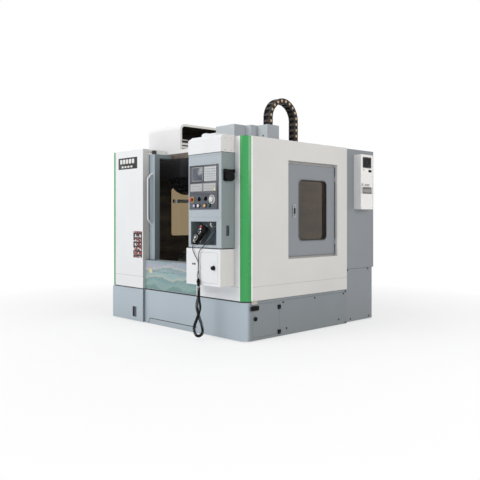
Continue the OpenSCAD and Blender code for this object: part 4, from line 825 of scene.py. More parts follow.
# %% Moving caps
STEM = (6, -14)
feed = CONTROLS["feed"]
on_panel("stop_button", red, on_control("stop", [STEM, (6, 4.4), (18, 4.4), (18, 9), (12, 10), (10.5, 12), (10.5, 13),
         (15, 13.4), (17.2, 15), (17.6, 18), (17.2, 21), (16, 23), (12.5, 24.4), (8, 24.8), (0, 24.8)], 40),
         body="e_stop", swaps=["e_stop_button"])
for key in SELECTORS:
    x, z = CONTROLS[key]
    on_panel(key + "_selector", matt_black,
             on_control(key, [STEM, (6, 0.4), (19, 0.4), (19, 6), (17.6, 8), (12, 8.6), (0, 8.6)], 40),
             block((x, z), 5, 18.6, (7.5, 20.2), 2.0), body=key + "_knob", swaps=[key + "_knob"])
    on_panel(key + "_pointer", white_plastic, block((x, z + 11.3), 0.9, 6.3, (19.6, 20.6), 0.2), body=key + "_knob")
on_panel("feed_wheel", white_plastic,
         on_control("feed", [STEM, (6, 0.4), (33.8, 0.4), (34, 3), (34, 8), (33, 10), (27, 10.4), (26, 12), (25, 17),
                             (24, 18.2), (14, 18.2), (12.5, 16.4), (0, 16.4)], 40),
         ("turned", feed[0] + 17, feed[1], [(5, 16), (5, 26), (5.6, 28), (5.4, 31), (4, 32.3), (0, 32.3)], 20),
         body="feed_dial", swaps=["feed_dial"])
on_panel("feed_wheel_ring", matt_black, on_control("feed", [(33, 9.4), (33, 10.8), (27.2, 10.9), (27.2, 9.4)], 40),
         body="feed_dial")
on_panel("feed_wheel_grip", white_plastic, *[block(on_clock(feed, 30.5, 12 * i), 0.8, 2, (9.6, 10.9))
                                             for i in range(30)],
         body="feed_dial", slot="black_plastic")
for key, paint in zip(BUTTONS, (lilac, white_plastic, amber, teal)):
    on_panel(key + "_cap", paint,
             on_control(key, [STEM, (6, 4.4), (14.8, 4.4), (15, 6), (15, 12.6), (14.2, 14.2), (12, 15.2), (0, 15.3)],
                        40),
             body=key + "_button", swaps=[key + "_button"], slot=key + "_plastic")

# %% [markdown]
# ## The hanging control box
# Below the panel the box has an open shelf for the hand unit. Its lining is a light grey, painted light that
# lifts the shade inside the shelf. On its side sit a black cable cover with a rounded chin and a small port
# cover with bars. The cowl on top is screwed on.

# %% Shelf lining and side covers
BOX_SIDE = 1015
# The lining's light greys are painted light, lifting the shade inside the shelf.
lightened_shelf_lining = powder("shelf_lining", srgb(135, 148, 158), srgb(190, 200, 210), rough=0.4, dust=0.0, slot="dark_paint")
dress("shelf_lining", lightened_shelf_lining, "front", -977, [("slab", (558.5, 942.5), (932.5, 1161.5), (-1.0, 0.8), 0.3)])
dress("shelf_rim", box_grey, "front", BOX_FRONT, [("ring", (558, 943), (932, 1162), 2, 7, (-0.6, 1.0), 0.6)])
dress("box_seams", moulded("seam_shadow", srgb(120, 128, 140), 0.6), "front", BOX_FRONT,
      [("slab", (528, 1008), z, (-0.5, 0.25), 0) for z in ((1805, 1806.6), (1204, 1205.6))])
dress("cowl_joint", rubber, "front", BOX_FRONT, [("slab", (521.3, 1014.7), (1826.5, 1831.5), (-2, 5.4), 0.8)])
dress("cowl_joint_side", rubber, "right", BOX_SIDE, [("slab", (-1132, -951), (1826.5, 1831.5), (-2, 0.8), 0.4)])
print("shelf and seams made")

# %% Side of the box
dress("cable_cover", matt_black, "right", BOX_SIDE, [
    ("plate", (-1103, -982), (1552, 1666), 10, (0, 4), 1.5), ("plate", (-1092, -991), (1560, 1655), 22, (3, 30), 5),
    *[("slab", y, (1628, 1666), (3, 38), 3) for y in ((-1103, -1090), (-994, -982))],
    ("plate", (-1100, -985), (1550, 1636), 42, (26, 39), 4)], swaps=["cord_hook"])
dress("port_cover", panel_grey, "right", BOX_SIDE, [("plate", (-1066, -1027), (1023, 1126), 3, (-0.4, 2.4))])
dress("port_cover_bars", gloss_black, "right", BOX_SIDE + 2, [
    *[("slab", (-1060, -1045), (1029 + 11.5 * i, 1036 + 11.5 * i), (0, 3.4), 1.0) for i in range(8)],
    ("slab", (-1040, -1032), (1030, 1119), (0, 2.6), 1.0)])
dress("cowl_screws", steel, "right", BOX_SIDE, screws((-1080, -1000), (1965, 1850), 5), slot="")
dress("cowl_vent", white, "top", 2000, [
    ("slab", (690, 900), (-1100, -1040), (-1, 22), 7, 3), ("slab", (700, 760), (-1096, -1050), (18, 32), 6, 3)])
dress("box_corner_screws", box_grey, "front", BOX_FRONT, screws((532, 1003), (1790, 1240), 4), slot="")
print("side covers made")

# %% [markdown]
# ## The hand unit
# The small remote hangs in the shelf: a black moulded case with light labels, a black handwheel with a
# white dial, two knobs and a red stop. It leans, so its parts are drawn flat and turned to the CAD case's lean.

# %% Hand unit on its lean
def turn(axis, degrees):
    return Matrix.Rotation(math.radians(degrees), 4, axis)


unit = (Matrix.Scale(0.001, 4) @ Matrix.Translation((684, -1115, 1031.3)) @ turn("X", -15) @ turn("Y", 36)
        @ Matrix(SIDES["front"]).transposed().to_4x4())
FACE = 18
WHEEL = (0, -46)


def on_unit(name, paint, *shapes, **more):
    return dress(name, paint, unit, 0, shapes, **more)


def raised(outline):
    """An outline whose heights count from the face of the unit."""
    return [(radius, FACE + height) for radius, height in outline]


on_unit("hand_unit_case", matt_black, ("plate", (-39, 39), (-102.5, 102.5), 18, (-FACE, FACE - 2), 4),
        ("plate", (-34, 34), (-97, 97), 14, (FACE - 3, FACE), 1.5),
        *[("slab", u, (-40, 40), (-8, 8), 2) for u in ((-41, -37), (37, 41))], swaps=["hand_unit"])
on_unit("hand_unit_edge", moulded("soft_grey", srgb(46, 48, 50), 0.5, slot="black_plastic"),
        ("ring", (-36, 36), (-99.5, 99.5), 16, 3.2, (-2, 2.5), 1.2))
on_unit("hand_unit_label", white_plastic,
        *[("plate", u, v, radius, (FACE - 0.5, FACE + 0.8), 0.4) for u, v, radius in
          (((-35, -12), (42, 58), 4), ((-35, -29), (4, 38), 2), ((-8, 8), (4, 38), 3))],
        ("plate", (-24, 24), (-92, -86), 3, (FACE - 0.5, FACE + 0.6), 0.3))
on_unit("hand_unit_knobs", gloss_black,
        *[("turned", x, 22, raised([(12, 0), (12, 5), (8.5, 7), (8, 12), (0, 12.4)]), 24) for x in (-18, 18)],
        ("turned", *WHEEL, raised([(32.5, -0.5), (32.5, 0.2), (5, 0.2)]), 40))
on_unit("hand_unit_stop", red, ("turned", -24, 76,
                                raised([(9, 0), (9, 6), (13.5, 7), (14, 11), (12.5, 15), (7, 16), (0, 16.2)]), 28))
on_unit("hand_unit_wheel", black,
        ("turned", *WHEEL, raised([(5, -3.8), (5, 0.4), (30.6, 0.4), (31, 2), (31, 8), (30, 10), (25.5, 10.4),
                                   (24.6, 15), (23, 15.8), (12, 15), (0, 15)]), 44),
        ("turned", 18, -46, raised([(5, 14), (5, 22), (4.6, 26), (0, 26.6)]), 18),
        body="hand_wheel", swaps=["hand_wheel"], slot="white_plastic")
on_unit("hand_unit_wheel_dial", white_plastic,
        ("turned", *WHEEL, raised([(30.4, 9.9), (30.4, 10.6), (26.4, 10.9), (26.4, 9.9)]), 44),
        ("turned", *WHEEL, raised([(13, 14.6), (13, 15.8), (0, 15.8)]), 32), body="hand_wheel")
on_unit("hand_unit_wheel_marks", black,
        *[block(on_clock(WHEEL, 27.8, 15 * i), 0.5, 1, (FACE + 9, FACE + 11.2)) for i in range(24)], body="hand_wheel")
on_unit("strain_relief", matt_black, ("bar", [(0, -100, 0), (0, -112, 0), (0, -124, 0)], (8, 4.2), 14),
        slot="black_rubber")
print("hand unit made")

# %% Hook, rest and the tie of the cord
REST = [(612, 947), (661, 936), (853, 1112), (838, 1126), (717, 1123)]
bm = bmesh.new()
rest_rings = [[bm.verts.new(side("world") @ Vector((x, y, z))) for x, z in REST] for y in (-1052, -1049)]
for ends in rest_rings:
    bm.faces.new(ends)
skin(bm, rest_rings)
slab(bm, side("world"), (780, 820), (-1049, -976), (1098, 1104), 1.5)
finish_piece("unit_rest", bm, powder("rest_powder", srgb(78, 86, 88), dust=0.0), slot="grey_paint")
# A light bar along the rest plate's left edge: a painted highlight where the edge catches the light.
dress("unit_rest_edge", moulded("rest_edge", srgb(222, 226, 228), 0.4, slot="grey_paint"), "world", 0,
      [("bar", [(612, -1053, 947), (665, -1053, 1035), (717, -1053, 1123)], 5.5, 10)])
dress("lead_hook", ivory, "world", 0, [("bar", [(841, y, z) for y, z in (
    (-978, 1114), (-1030, 1114), (-1080, 1114), (-1098, 1118), (-1107, 1130), (-1108, 1150))], 8, 16)])
dress("cord_tie", matt_black, "world", 0, [
    ("bar", [(704, -1153, 596), (704, -1154, 580), (707, -1155, 552), (712, -1157, 530)], (13, 15), 16),
    ("bar", [(704, -1154, 580), (704, -1154, 564)], 16.5, 16, 0)], slot="black_rubber")
print("hook and tie made")

# %% [markdown]
# ## Plates on the front
# The real machine carries printed plates here. This one has none of that print: the black name plate keeps
# only pale bars, the label keeps rows of plain coloured cells, and the sill film keeps a generic wave design
# in the same soft colours.

# %% Name plate and label
LEFT_FRONT = -980
dress("name_plate", moulded("plate_black", srgb(16, 16, 18), 0.3, slot="black_plastic"), "front", LEFT_FRONT,
      [("plate", (-1000, -608), (1774, 1908), 3, (-0.4, 2.0), 0.6)])
dress("name_plate_bars", white_plastic, "front", LEFT_FRONT - 2, [
    *[("plate", (-962 + 62 * i, -914 + 62 * i), (1838, 1890), 8, (-0.2, 0.5), 0.2) for i in range(5)],
    *[("plate", (-930 + 62 * i, -890 + 62 * i), (1790, 1812), 5, (-0.2, 0.5), 0.2) for i in range(4)]])

CELL_WIDE, CELL_HIGH = 0.0437, 0.0508


def cell_paint():
    """Plain cells of red, black and white, in rows."""
    p = Paint("label_cells", "red_plastic")
    row, column = p.z % CELL_HIGH, p.x % CELL_WIDE
    inside = (row > 0.010) * (row < 0.044) * (column > 0.007) * (column < 0.037)
    checker = (p.x % (2 * CELL_WIDE)) < CELL_WIDE
    colour = p.mix(checker, srgb(188, 40, 44), srgb(30, 30, 34))
    p.set(Base_Color=p.mix(inside, srgb(44, 40, 42), p.mix(p.noise(34.0, 2.0) > 0.53, colour, srgb(222, 220, 220))),
          Roughness=0.36 + 0.08 * p.noise(60.0, 2.0))
    return p


dress("left_label", cell_paint(), "front", LEFT_FRONT, [("plate", (-686, -511), (739, 1044), 3, (-0.4, 1.2), 0.4)])
print("plates made")

# %% Film on the sill
HILLS = ((0.700, (170, 170, 186)), (0.650, (122, 152, 156)), (0.600, (150, 180, 180)),
         (0.545, (102, 140, 142)), (0.490, (140, 168, 162)), (0.43, (92, 128, 130)))


def film_paint():
    """Soft bands like far hills: a few distorted waves, one over the other, from lilac to sea green."""
    p = Paint("sill_film")
    drift = p.noise(3.2, 2.0, 0.5)
    colour = p.mix(p.ramp(p.x + 0.35 * drift, -0.5, 0.45), srgb(168, 172, 186), srgb(112, 150, 152))
    for i, (high, tone) in enumerate(HILLS):
        wave = p.sine(p.x * (6.0 + 1.7 * i) + (1.3 * i + 0.4))
        edge = wave * 0.022 + p.noise(5.0 + i, 2.0) * 0.06 + (high - 0.03)
        colour = p.mix(p.ramp(edge - p.z, -0.004, 0.016, 0.0, 0.62), colour, srgb(*tone))
        if i in (1, 3):
            line = p.within(edge - p.z, -0.002, 0.016, 0.008)
            colour = p.mix(line * 0.5, colour, srgb(208, 200, 184))
    spot_x, spot_z = p.x + 0.385, p.z - 0.597
    spot = p.ramp(spot_x * spot_x + spot_z * spot_z, 0.0009, 0.0007, 0.0, 0.85)
    colour = p.mix(spot, colour, srgb(226, 204, 150))
    dashes = p.within(p.z, 0.588, 0.600) * p.within(p.x, -0.345, 0.06) * ((p.x % 0.030) < 0.017)
    colour = p.mix(dashes * 0.6, colour, srgb(70, 80, 84))
    printed = p.within(p.z, 0.397, 0.714) * (p.facing()[1] < -0.7)
    p.set(Base_Color=p.mix(printed, srgb(150, 156, 160), colour), Roughness=0.24 + 0.08 * p.noise(40.0, 3.0),
          Normal=peel(p, 0.08))


film_paint()
print("sill film made")

# %% [markdown]
# ## Sliding doors
# Each leaf has a bow handle on two round feet, and a rubber seal frames its pane. The left leaf also shows
# the bolts on its leading edge and a door stop at its top.

# %% Seals, bolts and handles
DOOR_FRONT = -890
BOW = ((-890, 1116), (-902, 1124), (-940, 1168), (-947, 1200), (-947, 1415),
       (-947, 1631), (-940, 1664), (-902, 1706), (-890, 1714))


def inside_of(name, axis, s=1, margin=14):
    """Width and height of a CAD pane in millimetres, without a margin."""
    low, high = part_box(name)
    u = sorted((low[axis] * 1000 * s, high[axis] * 1000 * s))
    return (u[0] + margin, u[1] - margin), (low[2] * 1000 + margin, high[2] * 1000 - margin)


for hand, centre in (("left", -441), ("right", 381)):
    body = hand + "_front_door"
    u, v = inside_of(hand + "_front_window", 0)
    dress(hand + "_pane_seal", rubber, "front", -869.6, [("ring", u, v, 46, 13, (-1, 3.5), 1.4)], body=body)
    bm = bmesh.new()
    bar(bm, side("world"), [(centre, y, 1125 + (z - 1116) * 581 / 598) for y, z in BOW], 12.0, 18, 6)
    for z in (1128, 1703):
        turned(bm, at_uv(side("front", DOOR_FRONT), centre, z), [(15, -0.3), (15, 3), (13, 4.6), (9, 5), (0, 5)], 24)
    bow_steel = ground("handle_steel_" + hand, srgb(222, 224, 226), (20, 20, 1), 0.3, 0.35)
    finish_piece(hand + "_bow_handle", bm, bow_steel, body, [hand + "_front_handle"], "white_paint")
dress("left_leading_bolts", black, "right", -388.6, [("turned", -856, z, [(9, -0.4), (9, 0.4), (0, 0.5)], 16)
                                                     for z in (1849, 1514, 1179, 860)], body="left_front_door")
dress("left_door_stop", gloss_black, "front", -838, [("slab", (-468, -424), (1929, 1974), (0, 34), 3)],
      body="left_front_door")
print("door seals, handles and bolts made")

# %% [markdown]
# ## Skirt joints and the sill
# A black rubber strip closes the joint between the enclosure and its skirt at the front, a thin one runs
# along the side.

# %% Joint strips
BAY_FRONT, WALL = -950, 1165
dress("front_joint", rubber, "front", BAY_FRONT, [("slab", (-493, 1074), (380.2, 392.2), (-1, 2.0), 1.0)])
corner = [(1074 + 90 * math.sin(a), -859 - 90 * math.cos(a), 386) for a in map(math.radians, range(0, 91, 10))]
dress("corner_joint", rubber, "world", 0, [("bar", corner, 5.6, 12, 2)])
# A dark strip along the top of the toe recess and a bar on its slanted end: painted shade in the recess.
dress("toe_seal", rubber, "front", -946.7, [
    ("slab", (-402, 434), (57, 64.6), (-0.4, 1.2), 0.4), ("bar", [(-432, 3, 0), (-404, 60, 0)], 3.0, 8)])
dress("left_joint", rubber, "front", LEFT_FRONT, [("slab", (-1088, -493), (386, 392), (-1, 1.4), 0.8)])
dress("side_joint", moulded("joint_grey", srgb(112, 118, 120), 0.6), "right", WALL,
      [("slab", (-856, 646), (389, 392.5), (-1, 1.2), 0.5)])
dress("box_wall_plate", moulded("seam_white", srgb(206, 206, 208), 0.5), "front", BAY_FRONT,
      [("slab", (432.5, 1073), (526, 528), (-1, 0.5), 0.2)])
dress("left_strip_lip", green, "front", LEFT_FRONT, [("slab", (-1090.5, -1068), (393, 1989), (-1, 0.9), 0.4)])
# A dark sheet at the back of the slot: painted shade inside the slot.
dress("slot_back", moulded("slot_dark", srgb(48, 52, 54), 0.6, slot="dark_paint"), "front", -972,
      [("slab", (-712, -613), (42, 179), (-4, 0), 0.5)])
dress("slot_socket", panel_grey, "front", -972, [("plate", (-664, -630), (60, 160), 6, (-1, 3), 1)])
print("joints made")

# %% [markdown]
# ## Paint on the solids
# Every solid keeps its shape from the model and only gets its coat here. One table says which.

# %% Coats
COATS = {
    "white_powder": "control_cowl storage_cabinet storage_door left_front_handle right_front_handle",
    "unit_powder": "cooling_unit",
    "cover_powder": "head_cover",
    "bay_powder": "left_front_panel right_front_panel",
    "strip_powder": "door_lintel",
    "hood_powder": "magazine_hood",
    "sill_film": "front_sill_panel",
    "left_wall_powder": "left_side_panel",
    "right_wall_powder": "right_side_panel",
    "back_wall_powder": "rear_wall",
    "skirt_powder": "base_skirt skirt_hatch",
    "tank_powder": "coolant_tank",
    "cabinet_powder": "electrical_cabinet cabinet_door",
    "right_leaf_powder": "right_side_door",
    "left_leaf_powder": "left_side_door",
    "control_box_powder": "control_box",
    "green_powder": "corner_strips",
    "door_powder": "left_front_door right_front_door",
    "dark_powder": "magazine_guard tool_carousel",
    "casting_paint": "bed column magazine_frame saddle spindle_head",
    "ground_steel": "table spindle change_arm",
    "screw_steel": "x_screw y_screw z_screw",
    "blackened_steel": "levelling_feet",
    "bronze_pane": "left_front_window right_front_window right_side_window",
    "deep_bronze_pane": "left_side_window",
    "black_plastic": "drag_chain hand_unit cord_hook mode_knob rapid_knob",
    "panel_plastic": "control_panel",
    "red_plastic": "e_stop_button",
    "white_plastic": "feed_dial white_button hand_wheel",
    "lilac_plastic": "lilac_button",
    "amber_plastic": "amber_button",
    "teal_plastic": "green_button",
}
for coat, names in COATS.items():
    for name in names.split():
        for material_slot in nodes[name].material_slots:
            material_slot.material = PAINTS[coat]
print("coated:", sum(len(v.split()) for v in COATS.values()))

# %% [markdown]
# ## Right side: door, skirt and cooling unit
# The side door sits in a shallow recess and has a framed pane, a latch with a light outline and black
# buffers. The skirt below carries an inspection hatch with its pull and lock.

# %% Side doors
for hand, level, s in (("right", 1139, 1), ("left", -1099, -1)):
    u, v = inside_of(hand + "_side_window", 1, s)
    latch, edge = sorted((-243 * s, -207 * s)), sorted((-337 * s, 470 * s))
    middle = -225 * s

    def on_door(part, paint, *shapes, proud=0, **more):
        dress(hand + part, paint, hand, level + proud * s, shapes, body=hand + "_side_door", **more)

    on_door("_side_seal", rubber, ("ring", u, v, 40, 9, (-24, 1.6), 1.4))
    on_door("_side_trim", moulded("trim_" + hand, srgb(104, 110, 112), 0.5, slot="white_paint"),
            ("ring", (u[0] - 9, u[1] + 9), (v[0] - 9, v[1] + 9), 48, 5, (-0.5, 2.2), 0.8))
    on_door("_latch_plate", moulded("latch_grey_" + hand, srgb(150, 156, 156), 0.35, slot="grey_paint"),
            ("plate", latch, (1206, 1334), 6, (-0.4, 3.0), 0.8))
    on_door("_latch_rim", white_plastic, ("ring", (latch[0] + 2, latch[1] - 2), (1208, 1332), 5, 2.4, (0, 3.8), 0.5))
    on_door("_latch", gloss_black, *screws((middle,), (1222, 1318), 6),
            ("plate", (middle - 9, middle + 9), (1238, 1302), 7, (0, 10), 2), proud=3)
    on_door("_door_buffers", rubber, *[("turned", -322 * s, z, [(7, -1), (7, 3), (5, 4.4), (0, 4.6)], 20)
                                       for z in (1660, 902)])
    # A dark ring on the walls of the recess round the side door: painted shade in the recess.
    on_door("_recess_line", moulded("recess_" + hand, srgb(96, 102, 104), 0.6, slot="grey_paint"),
            ("ring", (edge[0] + 2, edge[1] - 2), (801, 1757), 5, 2.2, (-12, -0.4), 0.5), proud=-1.0)
HINGES = [(x, z - 30.4, z - 0.2) for x in (1133, -1093) for z in (937, 1627)]
dress("side_hinge_sleeves", steel_grey, "world", 0, [
    *[("bar", [(x, 462, low), (x, 462, high)], 6.9, 20) for x, low, high in HINGES],
    *[("slab", (x - 6.6, x + 6.6), (462, 470.2), z, 0.3) for x, *z in HINGES]])
# The flanges are whiter than the panels beside them: painted light on the flange edges next to the post.
flange_white = powder("flange_white", srgb(252, 253, 252), srgb(236, 240, 234), dust=0.1, slot="white_paint")
dress("post_flanges", flange_white, "world", 0, [
    ("slab", (1158, 1166.3), (-875, -857), (392.5, 1989), 0.5),
    ("slab", (1072, 1085), (-951.3, -944), (392.5, 1989), 0.5)])
dress("cover_link_side", cover, "world", 0, [("slab", (243, 246.5), (24.8, 130.5), (1990, 2289.8), 0.4)], body="head")
print("side doors dressed")

# %% Skirt and hatch
HATCH, CABINET_SIDE, Y_SHIFT = 1177, 1135, -950
# Its second colour, for faces along x, is a darker copy of the first: painted shade.
beige = powder("beige_plate", srgb(206, 200, 186), srgb(196, 190, 176), dust=0.1, slot="warm_white_paint")
dress("skirt_plate", beige, "right", HATCH, [("plate", (-872, -806), (362, 390), 2, (-13, 0.8), 0.6)])
dress("skirt_plate_dots", matt_black, "right", HATCH + 0.6, screws((-854, -824), (377,), 4.5))
dress("hatch_pull", matt_black, "right", HATCH, [
    ("plate", (-890, -781), (300, 345), 8, (-0.6, 2.0), 0.8), ("slab", (-884, -787), (318, 341), (1, 5), 2.0)],
    body="skirt_hatch")
dress("hatch_lock", matt_black, "right", HATCH,
      [("turned", -821, 218, [(20, -12), (20, 0.5), (17, 3), (12, 5), (0, 5)], 28)],
      body="skirt_hatch")
dress("hatch_hinges", matt_black, "right", WALL,
      [("slab", (-503, -465), (z - 21, z + 21), (-1, 12), 2) for z in (304, 55)])
dress("skirt_screws", matt_black, "right", WALL, [("screw", y + Y_SHIFT, z, 9) for y, z in (
    (528, 345), (1025, 346), (1529, 349), (1563, 22), (578, 76), (1444, 67), (1563, 371))])
dress("cabinet_screws", matt_black, "right", CABINET_SIDE,
      [("screw", y + Y_SHIFT, z, 9) for y, z in ((1647, 601), (2043, 600), (2066, 41), (1700, 41))])
fine_line = moulded("joint_line", srgb(66, 70, 72), 0.7, slot="grey_paint")
dress("hatch_outline", fine_line, "right", WALL, [("ring", (-852.5, -478), (37, 358), 3, 1.6, (-1, 0.3), 0.1)])
dress("skirt_top_line", fine_line, "right", WALL, [("slab", (-474, 646), (363, 365.4), (-1, 0.3), 0.1)])
dress("cabinet_cover_line", fine_line, "right", CABINET_SIDE, [("slab", (655, 1176), (612, 615), (-1, 0.4), 0.1)])
print("skirt dressed")

# %% [markdown]
# ## Cooling unit
# The cabinet's cooling unit hangs on its side. It has a square grille over the fan, a small dark display, a
# field of louvres below and screws down its edge.

# %% Grille, display and louvres
UNIT = 1230
FAN = (942, 1838)
dress("fan_grille", moulded("grille_black", srgb(13, 13, 14), 0.65, slot="black_plastic"), "right", UNIT, [
    ("slab", (868, 1016), (1783, 1892), (-1, 0.8), 0.3), ("ring", (866, 1018), (1781, 1894), 8, 6, (-1, 5), 1.0),
    *[("ring", (FAN[0] - r, FAN[0] + r), (FAN[1] - r, FAN[1] + r), r, 3, (-1, 4), 0.8) for r in (12, 27, 42, 54)],
    ("slab", (868, 1016), (1836, 1840), (-1, 3), 0.8), ("slab", (940, 944), (1783, 1892), (-1, 3), 0.8),
    ("turned", *FAN, [(14, -1), (14, 4), (10, 5), (0, 5)], 28)])
dress("unit_display", matt_black, "right", UNIT, [("plate", (972, 1032), (1728, 1756), 3, (-0.4, 2.2), 0.6)])
dress("unit_sticker", amber, "right", UNIT, [("plate", (868, 888), (1742, 1760), 2, (-0.3, 0.5), 0.2)])
dress("unit_vents", moulded("vent_grey", srgb(128, 124, 118), 0.5, slot="warm_white_paint"), "right", UNIT, [
    ("ring", (868, 1020), (1482, 1550), 4, 5, (-0.5, 3), 0.8),
    *[("slab", (868, 1020), (1484 + 9.4 * i, 1490 + 9.4 * i), (-0.5, 3.6), 1.2) for i in range(7)],
    *[("slab", (900, 990), (1566 + 9 * i, 1571 + 9 * i), (-0.5, 2.6), 1.0) for i in range(3)]])
dress("unit_screws", steel, "right", UNIT, screws((836, 1051), (1320, 1440, 1560, 1680, 1800, 1910), 4))
print("cooling unit dressed")

# %% [markdown]
# ## Storage cabinet
# The white cabinet under the control box has a small door with a round black knob and two ports.

# %% Cabinet knob, ports and seams
STORE_FRONT = -1136
dress("storage_pull", matt_black, "front", STORE_FRONT,
      [("turned", 915, 714, [(23, -0.4), (23, 3), (19, 6), (19, 23), (17.4, 25.4), (0, 25.8)], 32)],
      body="storage_door")
dress("storage_door_gap", moulded("gap_shadow", srgb(150, 150, 154), 0.6, slot="white_paint"), "front", STORE_FRONT,
      [("ring", (721, 971), (565, 860), 3, 2.0, (-1, 0.4), 0.2)])
dress("storage_ports", matt_black, "front", STORE_FRONT, [
    ("turned", x, 741, [(10, -0.4), (10, 2.4), (8.6, 3), (6.8, 3), (6.8, 0.4), (0, 0.4)], 24) for x in (600, 631)])
print("storage cabinet dressed")

# %% [markdown]
# ## Head cover, hood and chain
# The column's grey cover shows one dark grommet. The hood over the tool store has white slats in front of
# the dark inside. The cable chain is made of links with a round pin on every joint.

# %% Grommet and slats
dress("cover_grommet", rubber, "right", 413, [("turned", 60, 2150, [(10, -1), (10, 2), (7, 3), (0, 3)], 24)],
      body="head")
dress("hood_slats", white, "world", 0, [("slab", (-560, -500), (-446.5, -315), (z - 6, z + 6), 1.5)
                                        for z in (2143, 2098, 2060)])
cord_mesh.materials.append(cord_black.material)
print("cord in", cord_mesh.materials[0].name)

# %% [markdown]
# ## Cable chain
# The chain that feeds the head is a row of plastic links: two side plates with a round pin at each joint and
# cross bars between them. The links are set on the line of the real chain, up from the rear, over a half
# circle and down to the head. The link pieces are baked where they stand and ride on no body, so they do not
# follow the head when it goes down.

# %% Places along the chain
CHAIN_X, CHAIN_HALF, PITCH = (309.0, 407.0), 31.5, 71.0
FRONT_Y, REAR_Y, TOP_Z, TURN_R = 200.0, 646.0, 2373.0, 223.0
LEG = 5


def chain_places():
    """Placements of the links from the front foot to the rear foot, each at its lower end."""
    world = Matrix.Scale(0.001, 4)

    def leg(y):
        return [world @ Matrix.Translation((0, y, TOP_Z - (i + 1) * PITCH)) for i in range(LEG)]

    count = round(math.pi * TURN_R / PITCH)
    arc = [world @ Matrix.Translation((0, FRONT_Y + TURN_R, TOP_Z)) @ turn("X", -(i + 0.5) * 180 / count)
           @ Matrix.Translation((0, -TURN_R, -PITCH / 2)) for i in range(count)]
    return leg(FRONT_Y)[::-1] + arc + leg(REAR_Y)


print("links:", len(chain_places()))


# %% One link
def prism(bm, place, outline, x0, x1, edge=1.5):
    """An outline in (y, z) drawn out along x, with eased rims."""
    middle = sum(z for _, z in outline) / len(outline)
    rings = [[bm.verts.new(place @ Vector((x, y * shrink, middle + (z - middle) * shrink))) for y, z in outline]
             for x, shrink in ((x0, 0.96), (x0 + edge, 1.0), (x1 - edge, 1.0), (x1, 0.96))]
    skin(bm, rings)
    bm.faces.new(rings[0])
    bm.faces.new(rings[-1])


def side_plates(bm, place):
    """Both flanks of a link, a little longer than the pitch, and the bars between them."""
    outline = corner_loop((-CHAIN_HALF + 1, CHAIN_HALF - 1), (-6, PITCH + 6), 14, 5)
    for x in (CHAIN_X[0], CHAIN_X[1] - 12):
        prism(bm, place, outline, x, x + 12)
    for y in (-26, 26):
        slab(bm, place, (CHAIN_X[0] + 6, CHAIN_X[1] - 6), (y - 3, y + 3), (20, 50), 1.5)


def pins(bm, place):
    turned(bm, place @ Matrix.Translation((CHAIN_X[1], 0, 35.5)) @ turn("Y", 90),
           [(15, -0.5), (15, 1.4), (13, 2.4), (0, 2.4)], 20)


def inner_cables(bm, place):
    for k in range(4):
        x, sway = CHAIN_X[0] + 22 + 18 * k, 2 * (k % 2) - 1
        bar(bm, place, [(x, sway, -2), (x, -sway, 36), (x, sway, 73)], 7.5, 10, 3)


def chain_part(name, paint, draw):
    bm = bmesh.new()
    for place in chain_places():
        draw(bm, place)
    return finish_piece(name, bm, paint, ("machine", "head", (0.358, 0.5, 2.6), (0.358, 0.26, 2.6)))


plates_piece = chain_part("chain_links", moulded("chain_nylon", srgb(42, 33, 31), 0.55, 0.25, slot="black_plastic"),
                          side_plates)
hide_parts("drag_chain")
chain_part("chain_pins", moulded("pin_beige", srgb(214, 182, 140), 0.5, slot="amber_plastic"), pins)
chain_part("chain_cables", rubber, inner_cables)
print("chain triangles:", sum(len(p.vertices) - 2 for p in plates_piece.data.polygons))

# %% Feet of the chain
for name, y, z, body in (("rear", REAR_Y, 1998, "machine"), ("front", FRONT_Y, 1992, "head")):
    dress("chain_" + name + "_foot", blackened, "world", 0, [("slab", (317, 399), (y - 24, y + 24), (z, 2024), 2)],
          body=body)
print("chain feet made")

# %% [markdown]
# ## The back
# Nobody poses with the back of a machine, but the fitter lives there: the cabinet door has louvres and a
# lock, the rear wall is screwed on in rows, and the power and air inlets have their glands. The photograph
# does not show this side, so all of it is a guess.

# %% Cabinet door
BACK_DOOR = 1209


def on_back(name, paint, *shapes):
    dress(name, paint, "back", BACK_DOOR, shapes, body="cabinet_door")


LOUVRES = [v0 + 16 * i for v0 in (720, 1800) for i in range(8)]
on_back("cabinet_louvres", steel_grey, *[("slab", (-910, -560), (v, v + 11), (-0.5, 4.5), 2.0, 3) for v in LOUVRES])
# Dark strips in the gaps between the louvres: painted shade for the openings behind them.
on_back("cabinet_louvre_gaps", rubber, *[("slab", (-908, -562), (v + 10.6, v + 13), (-0.5, 0.4), 0.1, 1)
                                         for v in LOUVRES])
on_back("cabinet_lock", gloss_black, ("plate", (-1106, -1068), (1230, 1390), 8, (-0.5, 3.0), 1.0))
on_back("cabinet_door_line", moulded("door_line", srgb(70, 76, 78), 0.6, slot="grey_paint"),
        ("ring", (-1128, -342), (622, 1982), 3, 2.0, (-0.5, 0.5), 0.2))
dress("cabinet_eyes", screw_steel, "top", 1990, [
    ("turned", x, y, [(16, -0.3), (16, 5), (9, 6), (9, 9), (0, 9)], 24) for x in (400, 1070) for y in (670, 1120)])
print("cabinet back dressed")

# %% Glands and wall screws
for name, x, r, corners in (("power_gland", 455, 16, 12), ("air_gland", 555, 6.6, 6)):
    outline = [(r - 0.6, -3), (r - 0.6, 1), (r + 9, 1), (r + 9, 8), (r + 4, 9), (r + 4, 20), (r + 1, 24),
               (r * 0.6, 24), (r * 0.6, 2), (0, 2)]
    dress(name, black, "back", 1176.7, [("turned", -x, 200, outline, corners)])
dress("rear_wall_screws", screw_steel, "back", 677, screws((1066, 540), range(440, 1960, 210), 6))
print("glands and screws made")

# %% [markdown]
# ## The studio
# A machine is photographed on a sweep: a floor that curves up into the wall, so that no horizon shows. The
# floor is pale by its own colour. Camera rays see part of it as plain white, and part of it stays a diffuse
# surface, so that the machine still drops a soft shadow on it.

